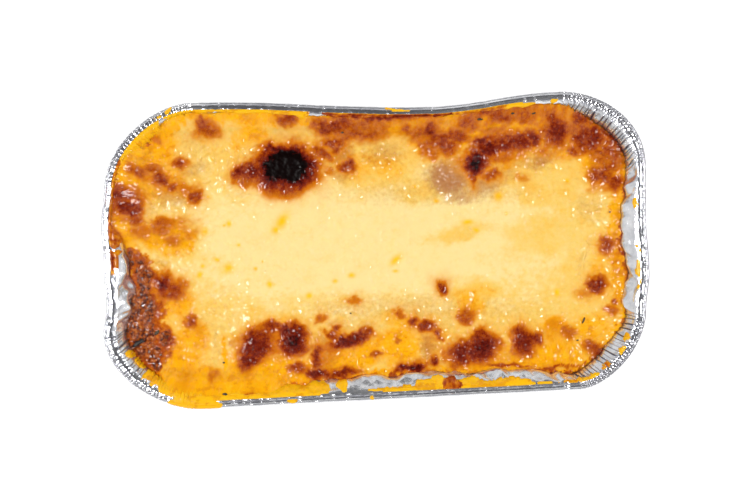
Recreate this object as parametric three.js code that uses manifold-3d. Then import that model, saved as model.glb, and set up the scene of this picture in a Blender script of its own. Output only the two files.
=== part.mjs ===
// A lasagne baked in its crimped aluminium foil tray: a takeaway portion, in millimetres, +Z up.
// The origin is the middle of the underside. +X runs along the tray, +Y across it, and +Z out of its mouth.
// Three solids: the foil tray, the pasta and meat sauce that fill it, and the melted cheese on top of them.
import * as THREE from "three";
import { mergeVertices } from "three/addons/utils/BufferGeometryUtils.js";
import Module from "manifold-3d";

const wasm = await Module();
wasm.setup();

// ---- Driving sizes -------------------------------------------------------------------------------------------
const TRAY_HEIGHT = 45;
const BASE_LENGTH = 160;
const BASE_WIDTH = 80;
const BASE_CORNER = 22;
// How far the wall has leaned out (0 at the floor, 1 at the rim) by height: steep, then a lip flared towards the rim.
const LIP_LEVEL = 42;
const LEAN = [
  [0, 0],
  [33, 0.6],
  [LIP_LEVEL, 0.74],
  [TRAY_HEIGHT, 1],
];
const FOIL = 0.6; // wall thickness, drawn thicker than rolled foil
const FLOOR_FILLET = 3;
const RIM_WIDTH = 2.7; // flat flange with its rolled outer edge
// The rim's section from the wall's outer face round to its inner face: distance below its top, and in from its edge.
const RIM_SECTION = [
  [2.1, 2.5],
  [2.2, 0.7],
  [1.3, 0],
  [0.4, 0.2],
  [0, 0.9],
  [0.15, 2.2],
  [0.7, 3.2],
];

const PLEATS_PER_CORNER = 12;
const PLEAT_DEPTH = 0.65; // at the rim, fading towards the floor
const RIM_CRIMP = 0.25; // share of it that shows on the rim

const GAP = 0.4; // kept between neighbouring solids
const FILLING_TOP = 33; // flat level where the cheese layer starts
const CHEESE_LEVEL = 38.1; // general level of the baked surface
const CHEESE_CEILING = 40.2; // no blister stands higher
const CHEESE_CLIMB = 3; // how far the cheese clings up the foil at the left and the back
const RIGHT_SAG = 2.4; // how far its edge has sunk at the right
const FRONT_SAG = 1.9;
const EDGE_ROUNDING = 8; // how far in from its border the cheese rounds over
const EDGE_DIP = 0.5;
const EDGE_SHRINK = 2.2; // along the front
const DOME_RISE = 0.9; // of the middle over the long sides

// The rim's plan, outer edge: each corner is a superellipse quarter round (x, y), and the sides join them.
// Handling has left no two corners alike. They run anticlockwise from the front right one.
const CORNERS = [
  { x: 70.8, y: -22.4, rx: 23.2, ry: 26.0, power: 1.65, from: -Math.PI / 2 },
  { x: 64.0, y: 29.6, rx: 29.9, ry: 25.4, power: 2.0, from: 0 },
  { x: -64.3, y: 22.7, rx: 29.6, ry: 28.4, power: 1.7, from: Math.PI / 2 },
  { x: -60.8, y: -29.3, rx: 33.4, ry: 25.7, power: 1.85, from: Math.PI },
];
// Where a side is pushed in (negative) or bulges out. The place is a share of the way to the next corner.
const SIDE_DENTS = [
  { side: 0, at: 0.28, before: 0.26, after: 0.4, push: 1.2 },
  { side: 1, at: 0.35, before: 0.35, after: 0.64, push: -3.9 },
  { side: 2, at: 0.27, before: 0.27, after: 0.3, push: 1.0 },
  { side: 2, at: 0.82, before: 0.22, after: 0.18, push: -0.9 },
];
const SIDE_STEPS = [8, 16, 14, 16];

// The left wall is buckled inwards, between the food and the rim.
const BUCKLE = { y: -15, halfLength: 19, crease: 38, push: -2.6 };

// Baked surface: raised blisters and sunken valleys. x, y, half sizes, turn in degrees, height.
const BLISTERS = [
  { x: -30.3, y: 28.2, a: 9.5, b: 7.0, turn: 0, rise: 1.7 }, // the charred bubble
  { x: -41.5, y: 28.0, a: 6.5, b: 4.0, turn: 0, rise: 1.0 },
  { x: -41.8, y: -33.0, a: 7.5, b: 5.2, turn: 50, rise: 1.5 },
  { x: -29.0, y: -30.5, a: 5.4, b: 5.0, turn: 60, rise: 1.4 },
  { x: -7.0, y: -30.0, a: 8.5, b: 3.8, turn: 14, rise: 1.3 },
  { x: 34.5, y: -34.5, a: 8.2, b: 4.8, turn: 14, rise: 1.6 },
  { x: 52.5, y: -31.8, a: 5.2, b: 4.6, turn: 0, rise: 1.4 },
  { x: 15.5, y: -25.0, a: 6.0, b: 3.2, turn: -20, rise: 0.9 },
  { x: 36.5, y: 32.5, a: 5.5, b: 5.0, turn: 0, rise: 1.2 },
  { x: 47.0, y: 37.5, a: 8.0, b: 4.0, turn: 15, rise: 1.1 },
  { x: 60.0, y: 39.5, a: 6.5, b: 5.2, turn: 0, rise: 1.4 },
  { x: 79.5, y: 25.0, a: 5.0, b: 4.4, turn: 0, rise: 1.2 },
  { x: 77.0, y: -12.5, a: 4.2, b: 3.6, turn: 0, rise: 1.0 },
  { x: -84.5, y: 17.0, a: 6.5, b: 4.5, turn: 0, rise: 1.1 },
  { x: -76.5, y: 24.0, a: 7.0, b: 3.6, turn: -20, rise: 1.0 },
  { x: -72.8, y: -12.0, a: 5.0, b: 4.4, turn: 0, rise: 1.2 },
  { x: -59.5, y: 42.0, a: 6.0, b: 3.6, turn: 0, rise: 0.9 },
  { x: -52.0, y: -20.0, a: 5.0, b: 9.0, turn: 0, rise: -1.2 },
  { x: -23.0, y: -40.0, a: 5.0, b: 5.0, turn: 0, rise: -1.4 },
  { x: 21.5, y: -36.0, a: 4.0, b: 6.0, turn: -15, rise: -1.1 },
  { x: 8.0, y: 30.0, a: 16.0, b: 7.0, turn: 0, rise: -0.7 },
];

// Meat sauce that has boiled up past the cheese beside the buckled wall.
const SAUCE_PATCH = { x: -80.8, y: -19.5, halfWidth: 8.2, halfLength: 21, turn: 8, top: 37.2, lumps: 0.42, edgeDrop: 1.4 };
const BURNT_FLAKE = { x: -82.2, y: -31.8, length: 4.2, width: 1.7, height: 1.4, turn: 30 };
// A drop of cheese that ran from the edge towards the front wall.
const WALL_DROP = { x: 27.2, y: -42.0, a: 3.6, b: 2.1, c: 2.0, z: 36.2 };

const CHEESE_CELLS_LONG = 60;
const CHEESE_CELLS_WIDE = 30;
const SAUCE_CELLS_WIDE = 10;
const SAUCE_CELLS_LONG = 24;

// ---- Small helpers -------------------------------------------------------------------------------------------
const radians = THREE.MathUtils.degToRad;
const smooth = (from, to, value) => THREE.MathUtils.smoothstep(value, from, to);

// A raised cosine: 1 in the middle, 0 at its two ends, which may lie at different distances.
function hump(offset, before, after) {
  const reach = offset < 0 ? before : after;
  const share = Math.abs(offset) / reach;
  return share < 1 ? 0.5 * (1 + Math.cos(Math.PI * share)) : 0;
}

// An ellipse's own coordinate at a point: 0 in its middle and 1 on its edge.
function ellipseReach(x, y, e) {
  const c = Math.cos(radians(e.turn));
  const s = Math.sin(radians(e.turn));
  const dx = x - e.x;
  const dy = y - e.y;
  return Math.hypot((dx * c + dy * s) / e.a, (dy * c - dx * s) / e.b);
}

// ---- Plans ---------------------------------------------------------------------------------------------------
// A quarter of a superellipse, from its start angle on, at a share of its sweep.
function cornerPoint(corner, share) {
  const angle = corner.from + (share * Math.PI) / 2;
  const bend = (value, size) => Math.sign(value) * Math.abs(value) ** (2 / corner.power) * size;
  return new THREE.Vector2(
    corner.x + bend(Math.cos(angle), corner.rx),
    corner.y + bend(Math.sin(angle), corner.ry),
  );
}

// The floor's corners are plain quarter circles round the same four turns.
function baseCorner(corner) {
  return {
    x: Math.sign(corner.x) * (BASE_LENGTH / 2 - BASE_CORNER),
    y: Math.sign(corner.y) * (BASE_WIDTH / 2 - BASE_CORNER),
    rx: BASE_CORNER,
    ry: BASE_CORNER,
    power: 2,
    from: corner.from,
  };
}

// A closed plan, anticlockwise: each corner in equal steps and then the side after it, with that side's dents.
// Each point keeps what the pleats need: which corner it is in, and how far along.
function plan(corners, dents, cornerSteps, sideSteps) {
  const points = [];
  corners.forEach((corner, n) => {
    for (let i = 0; i < cornerSteps; i += 1) {
      points.push({ at: cornerPoint(corner, i / cornerSteps), corner: n, share: i / cornerSteps, step: i });
    }
    const start = cornerPoint(corner, 1);
    const end = cornerPoint(corners[(n + 1) % 4], 0);
    const out = new THREE.Vector2(end.y - start.y, start.x - end.x).normalize();
    for (let i = 0; i < sideSteps[n]; i += 1) {
      const share = i / sideSteps[n];
      const push = dents
        .filter((dent) => dent.side === n)
        .reduce((sum, dent) => sum + dent.push * hump(share - dent.at, dent.before, dent.after), 0);
      const at = start.clone().lerp(end, share).addScaledVector(out, push);
      points.push({ at, corner: -1, share, step: i });
    }
  });
  return points;
}

// Outward unit normals of a closed plan, from each point's two neighbours.
function normals(points) {
  const count = points.length;
  return points.map((point, i) => {
    const before = points[(i + count - 1) % count];
    const after = points[(i + 1) % count];
    return new THREE.Vector2(after.y - before.y, before.x - after.x).normalize();
  });
}

// How far the left wall is pushed in at a point: one crease along it, with flat flanks above and below.
function buckle(at, z) {
  if (at.x > 0) return 0;
  const below = (z - FILLING_TOP) / (BUCKLE.crease - FILLING_TOP);
  const above = (TRAY_HEIGHT - z) / (TRAY_HEIGHT - BUCKLE.crease);
  const flank = THREE.MathUtils.clamp(Math.min(below, above), 0, 1);
  return BUCKLE.push * flank * hump(at.y - BUCKLE.y, BUCKLE.halfLength, BUCKLE.halfLength);
}

function lean(z) {
  const next = Math.max(1, LEAN.findIndex(([level]) => z <= level));
  const [[low, from], [high, to]] = LEAN.slice(next - 1, next + 1);
  return THREE.MathUtils.mapLinear(z, low, high, from, to);
}

// The tray's wall as rings: ring(z, inset) is the wall's outer face at a height, moved inwards by an inset.
// Every pleatEvery-th point of a corner is folded in: 2 gives the pleats, and 1 a plain wall just inside them.
function wall(cornerSteps, sideSteps, pleatEvery) {
  const rim = plan(CORNERS, SIDE_DENTS, cornerSteps, sideSteps);
  const rimPoints = rim.map((point) => point.at);
  const rimNormals = normals(rimPoints);
  const base = plan(CORNERS.map(baseCorner), [], cornerSteps, sideSteps).map((point) => point.at);
  const top = rimPoints.map((point, i) => point.clone().addScaledVector(rimNormals[i], -RIM_WIDTH));

  const pleat = rim.map((point) => {
    if (point.corner < 0 || point.step % pleatEvery) return 0;
    const fade = smooth(0, 0.12, point.share) * (1 - smooth(0.88, 1, point.share));
    return -PLEAT_DEPTH * fade;
  });

  function ring(z, inset) {
    const k = lean(z);
    const line = base.map((point, i) => point.clone().lerp(top[i], k));
    return normals(line).map((normal, i) => {
      const out = buckle(line[i], z) + pleat[i] * k - inset;
      return new THREE.Vector3(line[i].x + normal.x * out, line[i].y + normal.y * out, z);
    });
  }
  function rimRing(z, inset) {
    return rimPoints.map((point, i) => {
      const crimp = pleat[i] * RIM_CRIMP;
      return new THREE.Vector3(
        point.x + rimNormals[i].x * (crimp - inset),
        point.y + rimNormals[i].y * (crimp - inset),
        z,
      );
    });
  }
  return { ring, rimRing };
}

// ---- Meshes --------------------------------------------------------------------------------------------------
// A closed skin through rings of equal length, with a flat lid on its first and last ring.
// Each cell is split along its shorter diagonal, so that two skins side by side are split alike.
function skin(rings) {
  const count = rings[0].length;
  const corners = rings.flat();
  const positions = corners.flatMap((p) => [p.x, p.y, p.z]);
  const faces = [];
  for (let r = 0; r + 1 < rings.length; r += 1) {
    for (let i = 0; i < count; i += 1) {
      const a = r * count + i;
      const b = r * count + ((i + 1) % count);
      const [c, d] = [b + count, a + count];
      if (corners[a].distanceTo(corners[c]) < corners[b].distanceTo(corners[d])) faces.push(a, b, c, a, c, d);
      else faces.push(a, b, d, b, c, d);
    }
  }
  const lid = (r, turned) => {
    const outline = rings[r].map((p) => new THREE.Vector2(p.x, p.y));
    THREE.ShapeUtils.triangulateShape(outline, []).forEach(([a, b, c]) => {
      const [first, last] = turned ? [c, a] : [a, c];
      faces.push(r * count + first, r * count + b, r * count + last);
    });
  };
  lid(0, true);
  lid(rings.length - 1, false);
  return new THREE.BufferGeometry()
    .setAttribute("position", new THREE.Float32BufferAttribute(positions, 3))
    .setIndex(faces);
}

// A closed outline as a curve of its own length: point(q) for q from 0 to 4, a whole number at each corner's middle.
function quarteredOutline(points, cornerMiddles) {
  const quarters = cornerMiddles.map((start, n) => {
    const end = n < 3 ? cornerMiddles[n + 1] : cornerMiddles[0] + points.length;
    const line = [];
    for (let i = start; i <= end; i += 1) line.push(points[i % points.length]);
    const lengths = [0];
    for (let i = 1; i < line.length; i += 1) lengths.push(lengths[i - 1] + line[i].distanceTo(line[i - 1]));
    return { line, lengths };
  });
  return (q) => {
    const n = Math.floor(q) % 4;
    const { line, lengths } = quarters[n];
    const wanted = (q - Math.floor(q)) * lengths[lengths.length - 1];
    let i = 1;
    while (i < lengths.length - 1 && lengths[i] < wanted) i += 1;
    const share = (wanted - lengths[i - 1]) / (lengths[i] - lengths[i - 1]);
    const at = line[i - 1].clone().lerp(line[i], share);
    const along = line[i].clone().sub(line[i - 1]).normalize();
    return { at, normal: new THREE.Vector2(along.y, -along.x) };
  };
}

// A rectangular grid of cells pulled onto a rounded outline: nested rings, each like the border but smaller.
// place(u, v) gives a point for u and v from -1 to 1, and how far it lies inside the border.
function gridPlace(outline) {
  return (u, v) => {
    const m = Math.max(Math.abs(u), Math.abs(v));
    if (m === 0) return { x: 0, y: 0, inside: Infinity, q: 0 };
    const a = u / m;
    const b = v / m;
    let q;
    if (a >= 1 && b < 1) q = (b + 1) / 2;
    else if (b >= 1 && a > -1) q = 1 + (1 - a) / 2;
    else if (a <= -1 && b > -1) q = 2 + (1 - b) / 2;
    else q = 3 + (a + 1) / 2;
    const { at, normal } = outline(q % 4);
    return { x: m * at.x, y: m * at.y, inside: (1 - m) * at.dot(normal), q };
  };
}

// The border cells of a grid, anticlockwise from the front right corner.
function borderOrder(long, wide) {
  const order = [];
  for (let j = 0; j < wide; j += 1) order.push([long, j]);
  for (let i = long; i > 0; i -= 1) order.push([i, wide]);
  for (let j = wide; j > 0; j -= 1) order.push([0, j]);
  for (let i = 0; i < long; i += 1) order.push([i, 0]);
  return order;
}

// A solid with a relief on top of a grid, and rings below its border down to a flat underside.
// Both are given by functions of a grid place, u and v from -1 to 1.
function reliefSolid(long, wide, top, lowerRings) {
  const positions = [];
  const index = (i, j) => i * (wide + 1) + j;
  for (let i = 0; i <= long; i += 1) {
    for (let j = 0; j <= wide; j += 1) {
      const p = top(-1 + (2 * i) / long, -1 + (2 * j) / wide);
      positions.push(p.x, p.y, p.z);
    }
  }
  const faces = [];
  for (let i = 0; i < long; i += 1) {
    for (let j = 0; j < wide; j += 1) {
      const [a, b, c, d] = [index(i, j), index(i + 1, j), index(i + 1, j + 1), index(i, j + 1)];
      if ((i < long / 2) === (j < wide / 2)) faces.push(a, b, c, a, c, d);
      else faces.push(a, b, d, b, c, d);
    }
  }
  const border = borderOrder(long, wide);
  let above = border.map(([i, j]) => index(i, j));
  lowerRings.forEach((lower) => {
    const below = border.map(([i, j]) => {
      const next = lower(-1 + (2 * i) / long, -1 + (2 * j) / wide);
      positions.push(next.x, next.y, next.z);
      return positions.length / 3 - 1;
    });
    above.forEach((a, n) => {
      const b = above[(n + 1) % above.length];
      const c = below[(n + 1) % above.length];
      faces.push(a, below[n], c, a, c, b);
    });
    above = below;
  });
  const outline = above.map((n) => new THREE.Vector2(positions[3 * n], positions[3 * n + 1]));
  THREE.ShapeUtils.triangulateShape(outline, []).forEach(([a, b, c]) => {
    faces.push(above[c], above[b], above[a]);
  });
  return new THREE.BufferGeometry()
    .setAttribute("position", new THREE.Float32BufferAttribute(positions, 3))
    .setIndex(faces);
}

// ---- Solids and booleans -------------------------------------------------------------------------------------
function toSolid(geometry) {
  const bare = geometry.clone();
  bare.deleteAttribute("normal");
  bare.deleteAttribute("uv");
  const merged = mergeVertices(bare, 1e-4);
  return new wasm.Manifold(
    new wasm.Mesh({
      numProp: 3,
      vertProperties: merged.attributes.position.array,
      triVerts: new Uint32Array(merged.index.array),
    }),
  );
}

function toGeometry(solid) {
  const mesh = solid.getMesh();
  return new THREE.BufferGeometry()
    .setAttribute("position", new THREE.BufferAttribute(mesh.vertProperties, 3))
    .setIndex(new THREE.BufferAttribute(mesh.triVerts, 1));
}

function placed(geometry, x, y, z, turn) {
  return geometry.rotateZ(radians(turn)).translate(x, y, z);
}

// ---- Foil tray -----------------------------------------------------------------------------------------------
// The section runs from the underside's edge up the outer wall, round the rolled rim and down the inner wall.
function foilTray() {
  const cornerSteps = 2 * PLEATS_PER_CORNER;
  const { ring, rimRing } = wall(cornerSteps, SIDE_STEPS, 2);
  const levels = [FILLING_TOP, BUCKLE.crease, LIP_LEVEL];
  const fillet = (radius, lift) =>
    [0, 45, 90].map((degrees) => {
      const a = radians(degrees);
      return [lift + radius * (1 - Math.cos(a)), radius * (1 - Math.sin(a))];
    });
  const outer = fillet(FLOOR_FILLET, 0).map(([z, inset]) => ring(z, inset));
  const inner = fillet(FLOOR_FILLET - FOIL, FOIL).map(([z, inset]) => ring(z, inset + FOIL));
  const rings = [
    ...outer,
    ...levels.map((z) => ring(z, 0)),
    ...RIM_SECTION.map(([drop, inset]) => rimRing(TRAY_HEIGHT - drop, inset)),
    ...levels.toReversed().map((z) => ring(z, FOIL)),
    ...inner.toReversed(),
  ];
  return skin(rings);
}

// ---- Food ----------------------------------------------------------------------------------------------------
// Its stations are the tray's folded-in ones, so the food's faces run along the pleats' inner edges.
const FOOD_CORNER_STEPS = PLEATS_PER_CORNER;
const FOOD_INSET = FOIL + GAP;
const foodWall = wall(FOOD_CORNER_STEPS, SIDE_STEPS, 1);

// A food's side at a height, following the tray's inner face.
const foodRing = (z, more = 0) => foodWall.ring(z, FOOD_INSET + more);

// The flat-topped slab of pasta and meat sauce.
function slab() {
  const low = FOIL + GAP;
  return skin([foodRing(low, FLOOR_FILLET), foodRing(low + FLOOR_FILLET), foodRing(FILLING_TOP)]);
}

// The sauce patch's plan: an ellipse-like oval whose turn follows the wall.
function sauceOutline(grow) {
  const { x, y, halfWidth, halfLength, turn } = SAUCE_PATCH;
  const c = Math.cos(radians(turn));
  const s = Math.sin(radians(turn));
  return (q) => {
    const angle = (q - 0.5) * (Math.PI / 2);
    const dx = Math.cos(angle) * (halfWidth + grow);
    const dy = Math.sin(angle) * (halfLength + grow);
    return { x: x + dx * c - dy * s, y: y + dx * s + dy * c };
  };
}

// The sauce patch as a lumpy mound standing on the slab.
function sauceMound() {
  const outline = sauceOutline(0);
  const place = gridPlace((q) => {
    const { x, y } = outline(q);
    const at = new THREE.Vector2(x - SAUCE_PATCH.x, y - SAUCE_PATCH.y);
    return { at, normal: at.clone().normalize() };
  });
  const top = (u, v) => {
    const p = place(u, v);
    const lumps = Math.sin(p.x * 2.1 + 1.3) * Math.sin(p.y * 1.7) + 0.5 * Math.sin(p.y * 3.1 + p.x);
    const edge = 1 - smooth(0, 3.5, Math.min(p.inside, 3.5));
    return new THREE.Vector3(
      p.x + SAUCE_PATCH.x,
      p.y + SAUCE_PATCH.y,
      SAUCE_PATCH.top + SAUCE_PATCH.lumps * lumps - SAUCE_PATCH.edgeDrop * edge,
    );
  };
  const down = (u, v) => top(u, v).setZ(FILLING_TOP - 1);
  return reliefSolid(SAUCE_CELLS_WIDE, SAUCE_CELLS_LONG, top, [down]);
}

function pastaAndMeatSauce() {
  const levels = [FILLING_TOP - 3, FILLING_TOP, BUCKLE.crease, TRAY_HEIGHT - 4];
  const inside = toSolid(skin(levels.map((z) => foodRing(z))));
  const mound = toSolid(sauceMound()).intersect(inside);
  const flake = BURNT_FLAKE;
  const crumb = toSolid(
    placed(
      new THREE.BoxGeometry(flake.length, flake.width, flake.height, 2, 1, 1),
      flake.x,
      flake.y,
      SAUCE_PATCH.top + 0.2,
      flake.turn,
    ),
  );
  return toGeometry(toSolid(slab()).add(mound).add(crumb));
}

// How far the cheese's border stands above (or below) its general level, by where it is round the tray:
// it clings up the foil at the left, the back and the front left, and has sunk at the right and the front.
function borderLift(x, y) {
  const left = (1 - smooth(-84, -74, x)) * smooth(0, 8, y);
  const right = smooth(60, 86, x);
  const back = smooth(34, 44, y) * (1 - right);
  const atFront = 1 - smooth(-46, -36, y);
  const frontLeft = atFront * smooth(-80, -68, x) * (1 - smooth(-38, -24, x));
  const sunk = Math.max(RIGHT_SAG * right, FRONT_SAG * atFront * smooth(-34, -20, x));
  return CHEESE_CLIMB * Math.max(left, back, frontLeft) - sunk;
}

// The cheese shrinks away from the middle of the front wall.
function shrinkage(x, y) {
  return EDGE_SHRINK * (1 - smooth(-44, -36, y)) * hump(x - 30, 42, 60);
}

function cheeseHeight(x, y, inside) {
  const dome = DOME_RISE * (1 - (y / 50) ** 2) * (1 - 0.5 * (x / 92) ** 2);
  const waves = 0.22 * Math.sin(x / 11 + 0.6) * Math.cos(y / 9) + 0.18 * Math.sin((x + 2 * y) / 14);
  const blisters = BLISTERS.reduce((sum, b) => sum + b.rise * Math.exp(-(ellipseReach(x, y, b) ** 2.6)), 0);
  const share = THREE.MathUtils.clamp(1 - inside / EDGE_ROUNDING, 0, 1);
  const lift = borderLift(x, y);
  const bend = lift < 0 ? 1 - Math.sqrt(1 - share ** 2) : share ** 2.2;
  return Math.min(CHEESE_LEVEL + dome + waves + blisters, CHEESE_CEILING) + lift * bend - EDGE_DIP * share ** 4;
}

// The cheese's plan at a height, as a curve with a whole number at each corner's middle.
function cheeseOutline(z) {
  const ring = foodRing(z).map((p) => new THREE.Vector2(p.x, p.y));
  const out = normals(ring);
  const edge = ring.map((p, i) => p.clone().addScaledVector(out[i], -shrinkage(p.x, p.y)));
  const stride = (n) => SIDE_STEPS.slice(0, n).reduce((sum, steps) => sum + steps, 0);
  const middles = [0, 1, 2, 3].map((n) => n * FOOD_CORNER_STEPS + stride(n) + FOOD_CORNER_STEPS / 2);
  return quarteredOutline(edge, middles);
}

function meltedCheese() {
  const levels = [FILLING_TOP + GAP, BUCKLE.crease, LIP_LEVEL];
  const [lowPlace, place, highPlace] = levels.map((z) => gridPlace(cheeseOutline(z)));
  const down = (u, v) => {
    const p = lowPlace(u, v);
    return new THREE.Vector3(p.x, p.y, levels[0]);
  };
  // Where the surface stands above or below the crease's level, it also moves with the sloping wall.
  const top = (u, v) => {
    const p = place(u, v);
    const z = cheeseHeight(p.x, p.y, p.inside);
    const other = z < levels[1] ? lowPlace(u, v) : highPlace(u, v);
    const otherLevel = z < levels[1] ? levels[0] : levels[2];
    const share = (z - levels[1]) / (otherLevel - levels[1]);
    return new THREE.Vector3(p.x, p.y, z).lerp(new THREE.Vector3(other.x, other.y, z), share);
  };
  const layer = toSolid(reliefSolid(CHEESE_CELLS_LONG, CHEESE_CELLS_WIDE, top, [down]));

  const patch = sauceOutline(GAP);
  const patchShape = new THREE.Shape(
    Array.from({ length: 32 }, (_, i) => new THREE.Vector2().copy(patch(i / 8))),
  );
  const notch = toSolid(
    new THREE.ExtrudeGeometry(patchShape, { depth: 12, bevelEnabled: false }).translate(0, 0, FILLING_TOP - 1),
  );
  const drop = toSolid(
    new THREE.SphereGeometry(1, 10, 7).scale(WALL_DROP.a, WALL_DROP.b, WALL_DROP.c)
      .translate(WALL_DROP.x, WALL_DROP.y, WALL_DROP.z),
  );
  const parts = layer.subtract(notch).add(drop).decompose();
  const whole = parts.reduce((best, part) => (part.volume() > best.volume() ? part : best));
  return toGeometry(whole);
}

// ---- The part ------------------------------------------------------------------------------------------------
const finish = (color, roughness, metalness) => new THREE.MeshStandardMaterial({ color, roughness, metalness });
const FOIL_FINISH = finish(0xc9c9cc, 0.25, 1);
const SAUCE_FINISH = finish(0x8a3c14, 0.4, 0);
const CHEESE_FINISH = finish(0xf6d27c, 0.35, 0);

function piece(name, geometry, material) {
  const mesh = new THREE.Mesh(geometry, material);
  mesh.name = name;
  return mesh;
}

const lasagne = new THREE.Group();
lasagne.add(
  piece("foil_tray", foilTray(), FOIL_FINISH),
  piece("pasta_and_meat_sauce", pastaAndMeatSauce(), SAUCE_FINISH),
  piece("melted_cheese", meltedCheese(), CHEESE_FINISH),
);

export default lasagne;
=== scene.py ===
"""A lasagne baked in its crimped foil tray: foil, meat sauce, melted cheese, smears and flecks.

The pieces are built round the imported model, in its frame. Shapes are worked out in millimetres, as
whole arrays, and written to the meshes in metres. The front is towards -y, and turns are in degrees.
"""
import math

import bpy
import numpy as np
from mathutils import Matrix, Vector


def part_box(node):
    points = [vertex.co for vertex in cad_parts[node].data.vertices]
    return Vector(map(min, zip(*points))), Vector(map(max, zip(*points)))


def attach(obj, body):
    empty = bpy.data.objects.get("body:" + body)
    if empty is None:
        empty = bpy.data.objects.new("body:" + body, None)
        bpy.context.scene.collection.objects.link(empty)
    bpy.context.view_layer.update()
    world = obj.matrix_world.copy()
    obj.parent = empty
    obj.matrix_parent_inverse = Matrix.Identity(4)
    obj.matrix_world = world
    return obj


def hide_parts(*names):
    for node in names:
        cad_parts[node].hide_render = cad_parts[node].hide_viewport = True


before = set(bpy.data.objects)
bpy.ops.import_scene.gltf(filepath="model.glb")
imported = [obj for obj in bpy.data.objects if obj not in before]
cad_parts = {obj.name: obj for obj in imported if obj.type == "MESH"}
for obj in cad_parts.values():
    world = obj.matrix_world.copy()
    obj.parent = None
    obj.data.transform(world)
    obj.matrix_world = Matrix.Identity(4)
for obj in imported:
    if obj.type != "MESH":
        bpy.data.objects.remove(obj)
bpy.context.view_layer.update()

bl_info = {
    "name": "Lasagne in a foil tray",
    "version": (1, 0, 0),
    "blender": (4, 5, 0),
    "location": "View3D > Sidebar > Lasagne",
    "description": "Builds a baked lasagne in its foil tray, with a plain stage",
    "category": "Add Mesh",
}

MM = 0.001
TRAY_BOX = np.array([list(corner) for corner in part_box("foil_tray")]) / MM
CHEESE_BOX = np.array([list(corner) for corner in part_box("melted_cheese")]) / MM

# ---- Sizes, in millimetres, as the solids have them ----------------------------------------------
TRAY_HEIGHT = float(round(TRAY_BOX[1, 2]))
BASE_LENGTH = 160.0
BASE_WIDTH = 80.0
BASE_CORNER = 22.0
LIP_LEVEL = 42.0
FLOOR_FILLET = 3.0
RIM_WIDTH = 2.7
FOOD_INSET = 1.0
FILLING_TOP = float(round(CHEESE_BOX[0, 2]))
# The cheese's level near its border, the rise of its dome, and the height that blisters stay below.
CHEESE_LEVEL = 38.1
DOME_RISE = 0.9
CHEESE_CEILING = 40.2
# How high the border clings to the foil, over what distance it bends up, and how its edge is rounded.
CHEESE_CLIMB = 6.6
RIGHT_CLIMB = 2.4
FRONT_CLIMB = 2.2
CLIMB_REACH = 15.0
EDGE_ROUNDING = 8.0
EDGE_DIP = 0.4

# How far the wall has leaned out by height, 0 at the floor and 1 at the rim: steep, then a flared lip.
LEAN = ((0.0, 0.0), (33.0, 0.6), (LIP_LEVEL, 0.74), (TRAY_HEIGHT, 1.0))
# The rim's corners, anticlockwise from the front right: centre, radii, superellipse power and start.
CORNERS = (
    (70.8, -22.4, 23.2, 26.0, 1.65, -math.pi / 2),
    (64.0, 29.6, 29.9, 25.4, 2.0, 0.0),
    (-64.3, 22.7, 29.6, 28.4, 1.7, math.pi / 2),
    (-60.8, -29.3, 33.4, 25.7, 1.85, math.pi),
)
# Side n runs from corner n to the next one. Its dents: side, place along it, reach before and after,
# and push outwards.
SIDE_DENTS = (
    (0, 0.28, 0.26, 0.4, 1.2),
    (1, 0.35, 0.35, 0.64, -3.9),
    (2, 0.27, 0.27, 0.3, 1.0),
    (2, 0.82, 0.22, 0.18, -0.9),
)
# The crease buckled into the left wall: where along it, how far each way, at what height and how deep.
BUCKLE_Y = -15.0
BUCKLE_HALF_LENGTH = 19.0
BUCKLE_CREASE = 38.0
BUCKLE_PUSH = -2.6
# How far the front and right walls and their corner are pressed in, between the food and the rim.
FRONT_PUSH = 2.4
RIGHT_PUSH = 2.3
CORNER_PUSH = 2.2
# Height of the deepest push, and how far below and above it the push reaches.
PUSH_LEVEL, PUSH_BELOW, PUSH_ABOVE = 40.5, 8.0, 4.3
# More pleats than fit round any corner.
MOST_PLEATS = 60

# Sharp kinks where the straight rims meet the pleated corners: x, y, depth.
RIM_KINKS = (
    (21, 48.4, 0.7), (62.8, 54, 0.8), (-58, 50.2, 0.6), (-93, -25, 0.8), (-92.6, -31.5, 0.6),
    (66.6, -48.8, 0.7), (94.2, -6.5, 0.6), (-20, 50, 0.3), (30, -51, 0.25), (2, 48.6, 0.4),
)
# The tray's rings. Angles round the rolled edge, distances below the top and inwards for its centre and
# for the flange, then heights on the wall, angles of the floor's fillet and shares of the underside.
ROLL_ANGLES = (-90, -55, -20, 10, 38, 62, 84, 108)
ROLL_CENTRE = (0.9, 0.5)
UNDER_FLANGE = (2.1, 2.7)
FLANGE_SECTION = ((0.46, 0.92), (0.5, 1.15), (0.33, 1.75), (0.16, 2.35), (0.34, 2.85))
LIP_HEIGHTS = (44.4, 43.9, 43.4, 42.9, 42.4, 41.9, 41.4)
WALL_HEIGHTS = (40.8, 40.1, 39.4, 38.7, 38.0, 37.3, 36.6, 35.9, 35.0, 34.0, 33.0)
INSIDE_HEIGHTS = (*LIP_HEIGHTS, *WALL_HEIGHTS)
OUTSIDE_HEIGHTS = (8, 14, 20, 26, 30, *WALL_HEIGHTS[::-1], LIP_HEIGHTS[-2])
FILLET_ANGLES = np.radians((30, 60, 90))
UNDERSIDE_SHARES = (0.3, 0.62, 0.86, 1.0)
# How much painted shade and painted reflection darken the foil: outside, on the rings of the rolled
# edge and on that of the groove beside it.
OUTSIDE_PAINTED_SHADE = 0.3
EDGE_RINGS, EDGE_PAINTED_SHADE = slice(3, 7), (1.0, 1.0, 1.0, 0.6)
GROOVE_RING, GROOVE_PAINTED_SHADE = 10, 0.5

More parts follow.
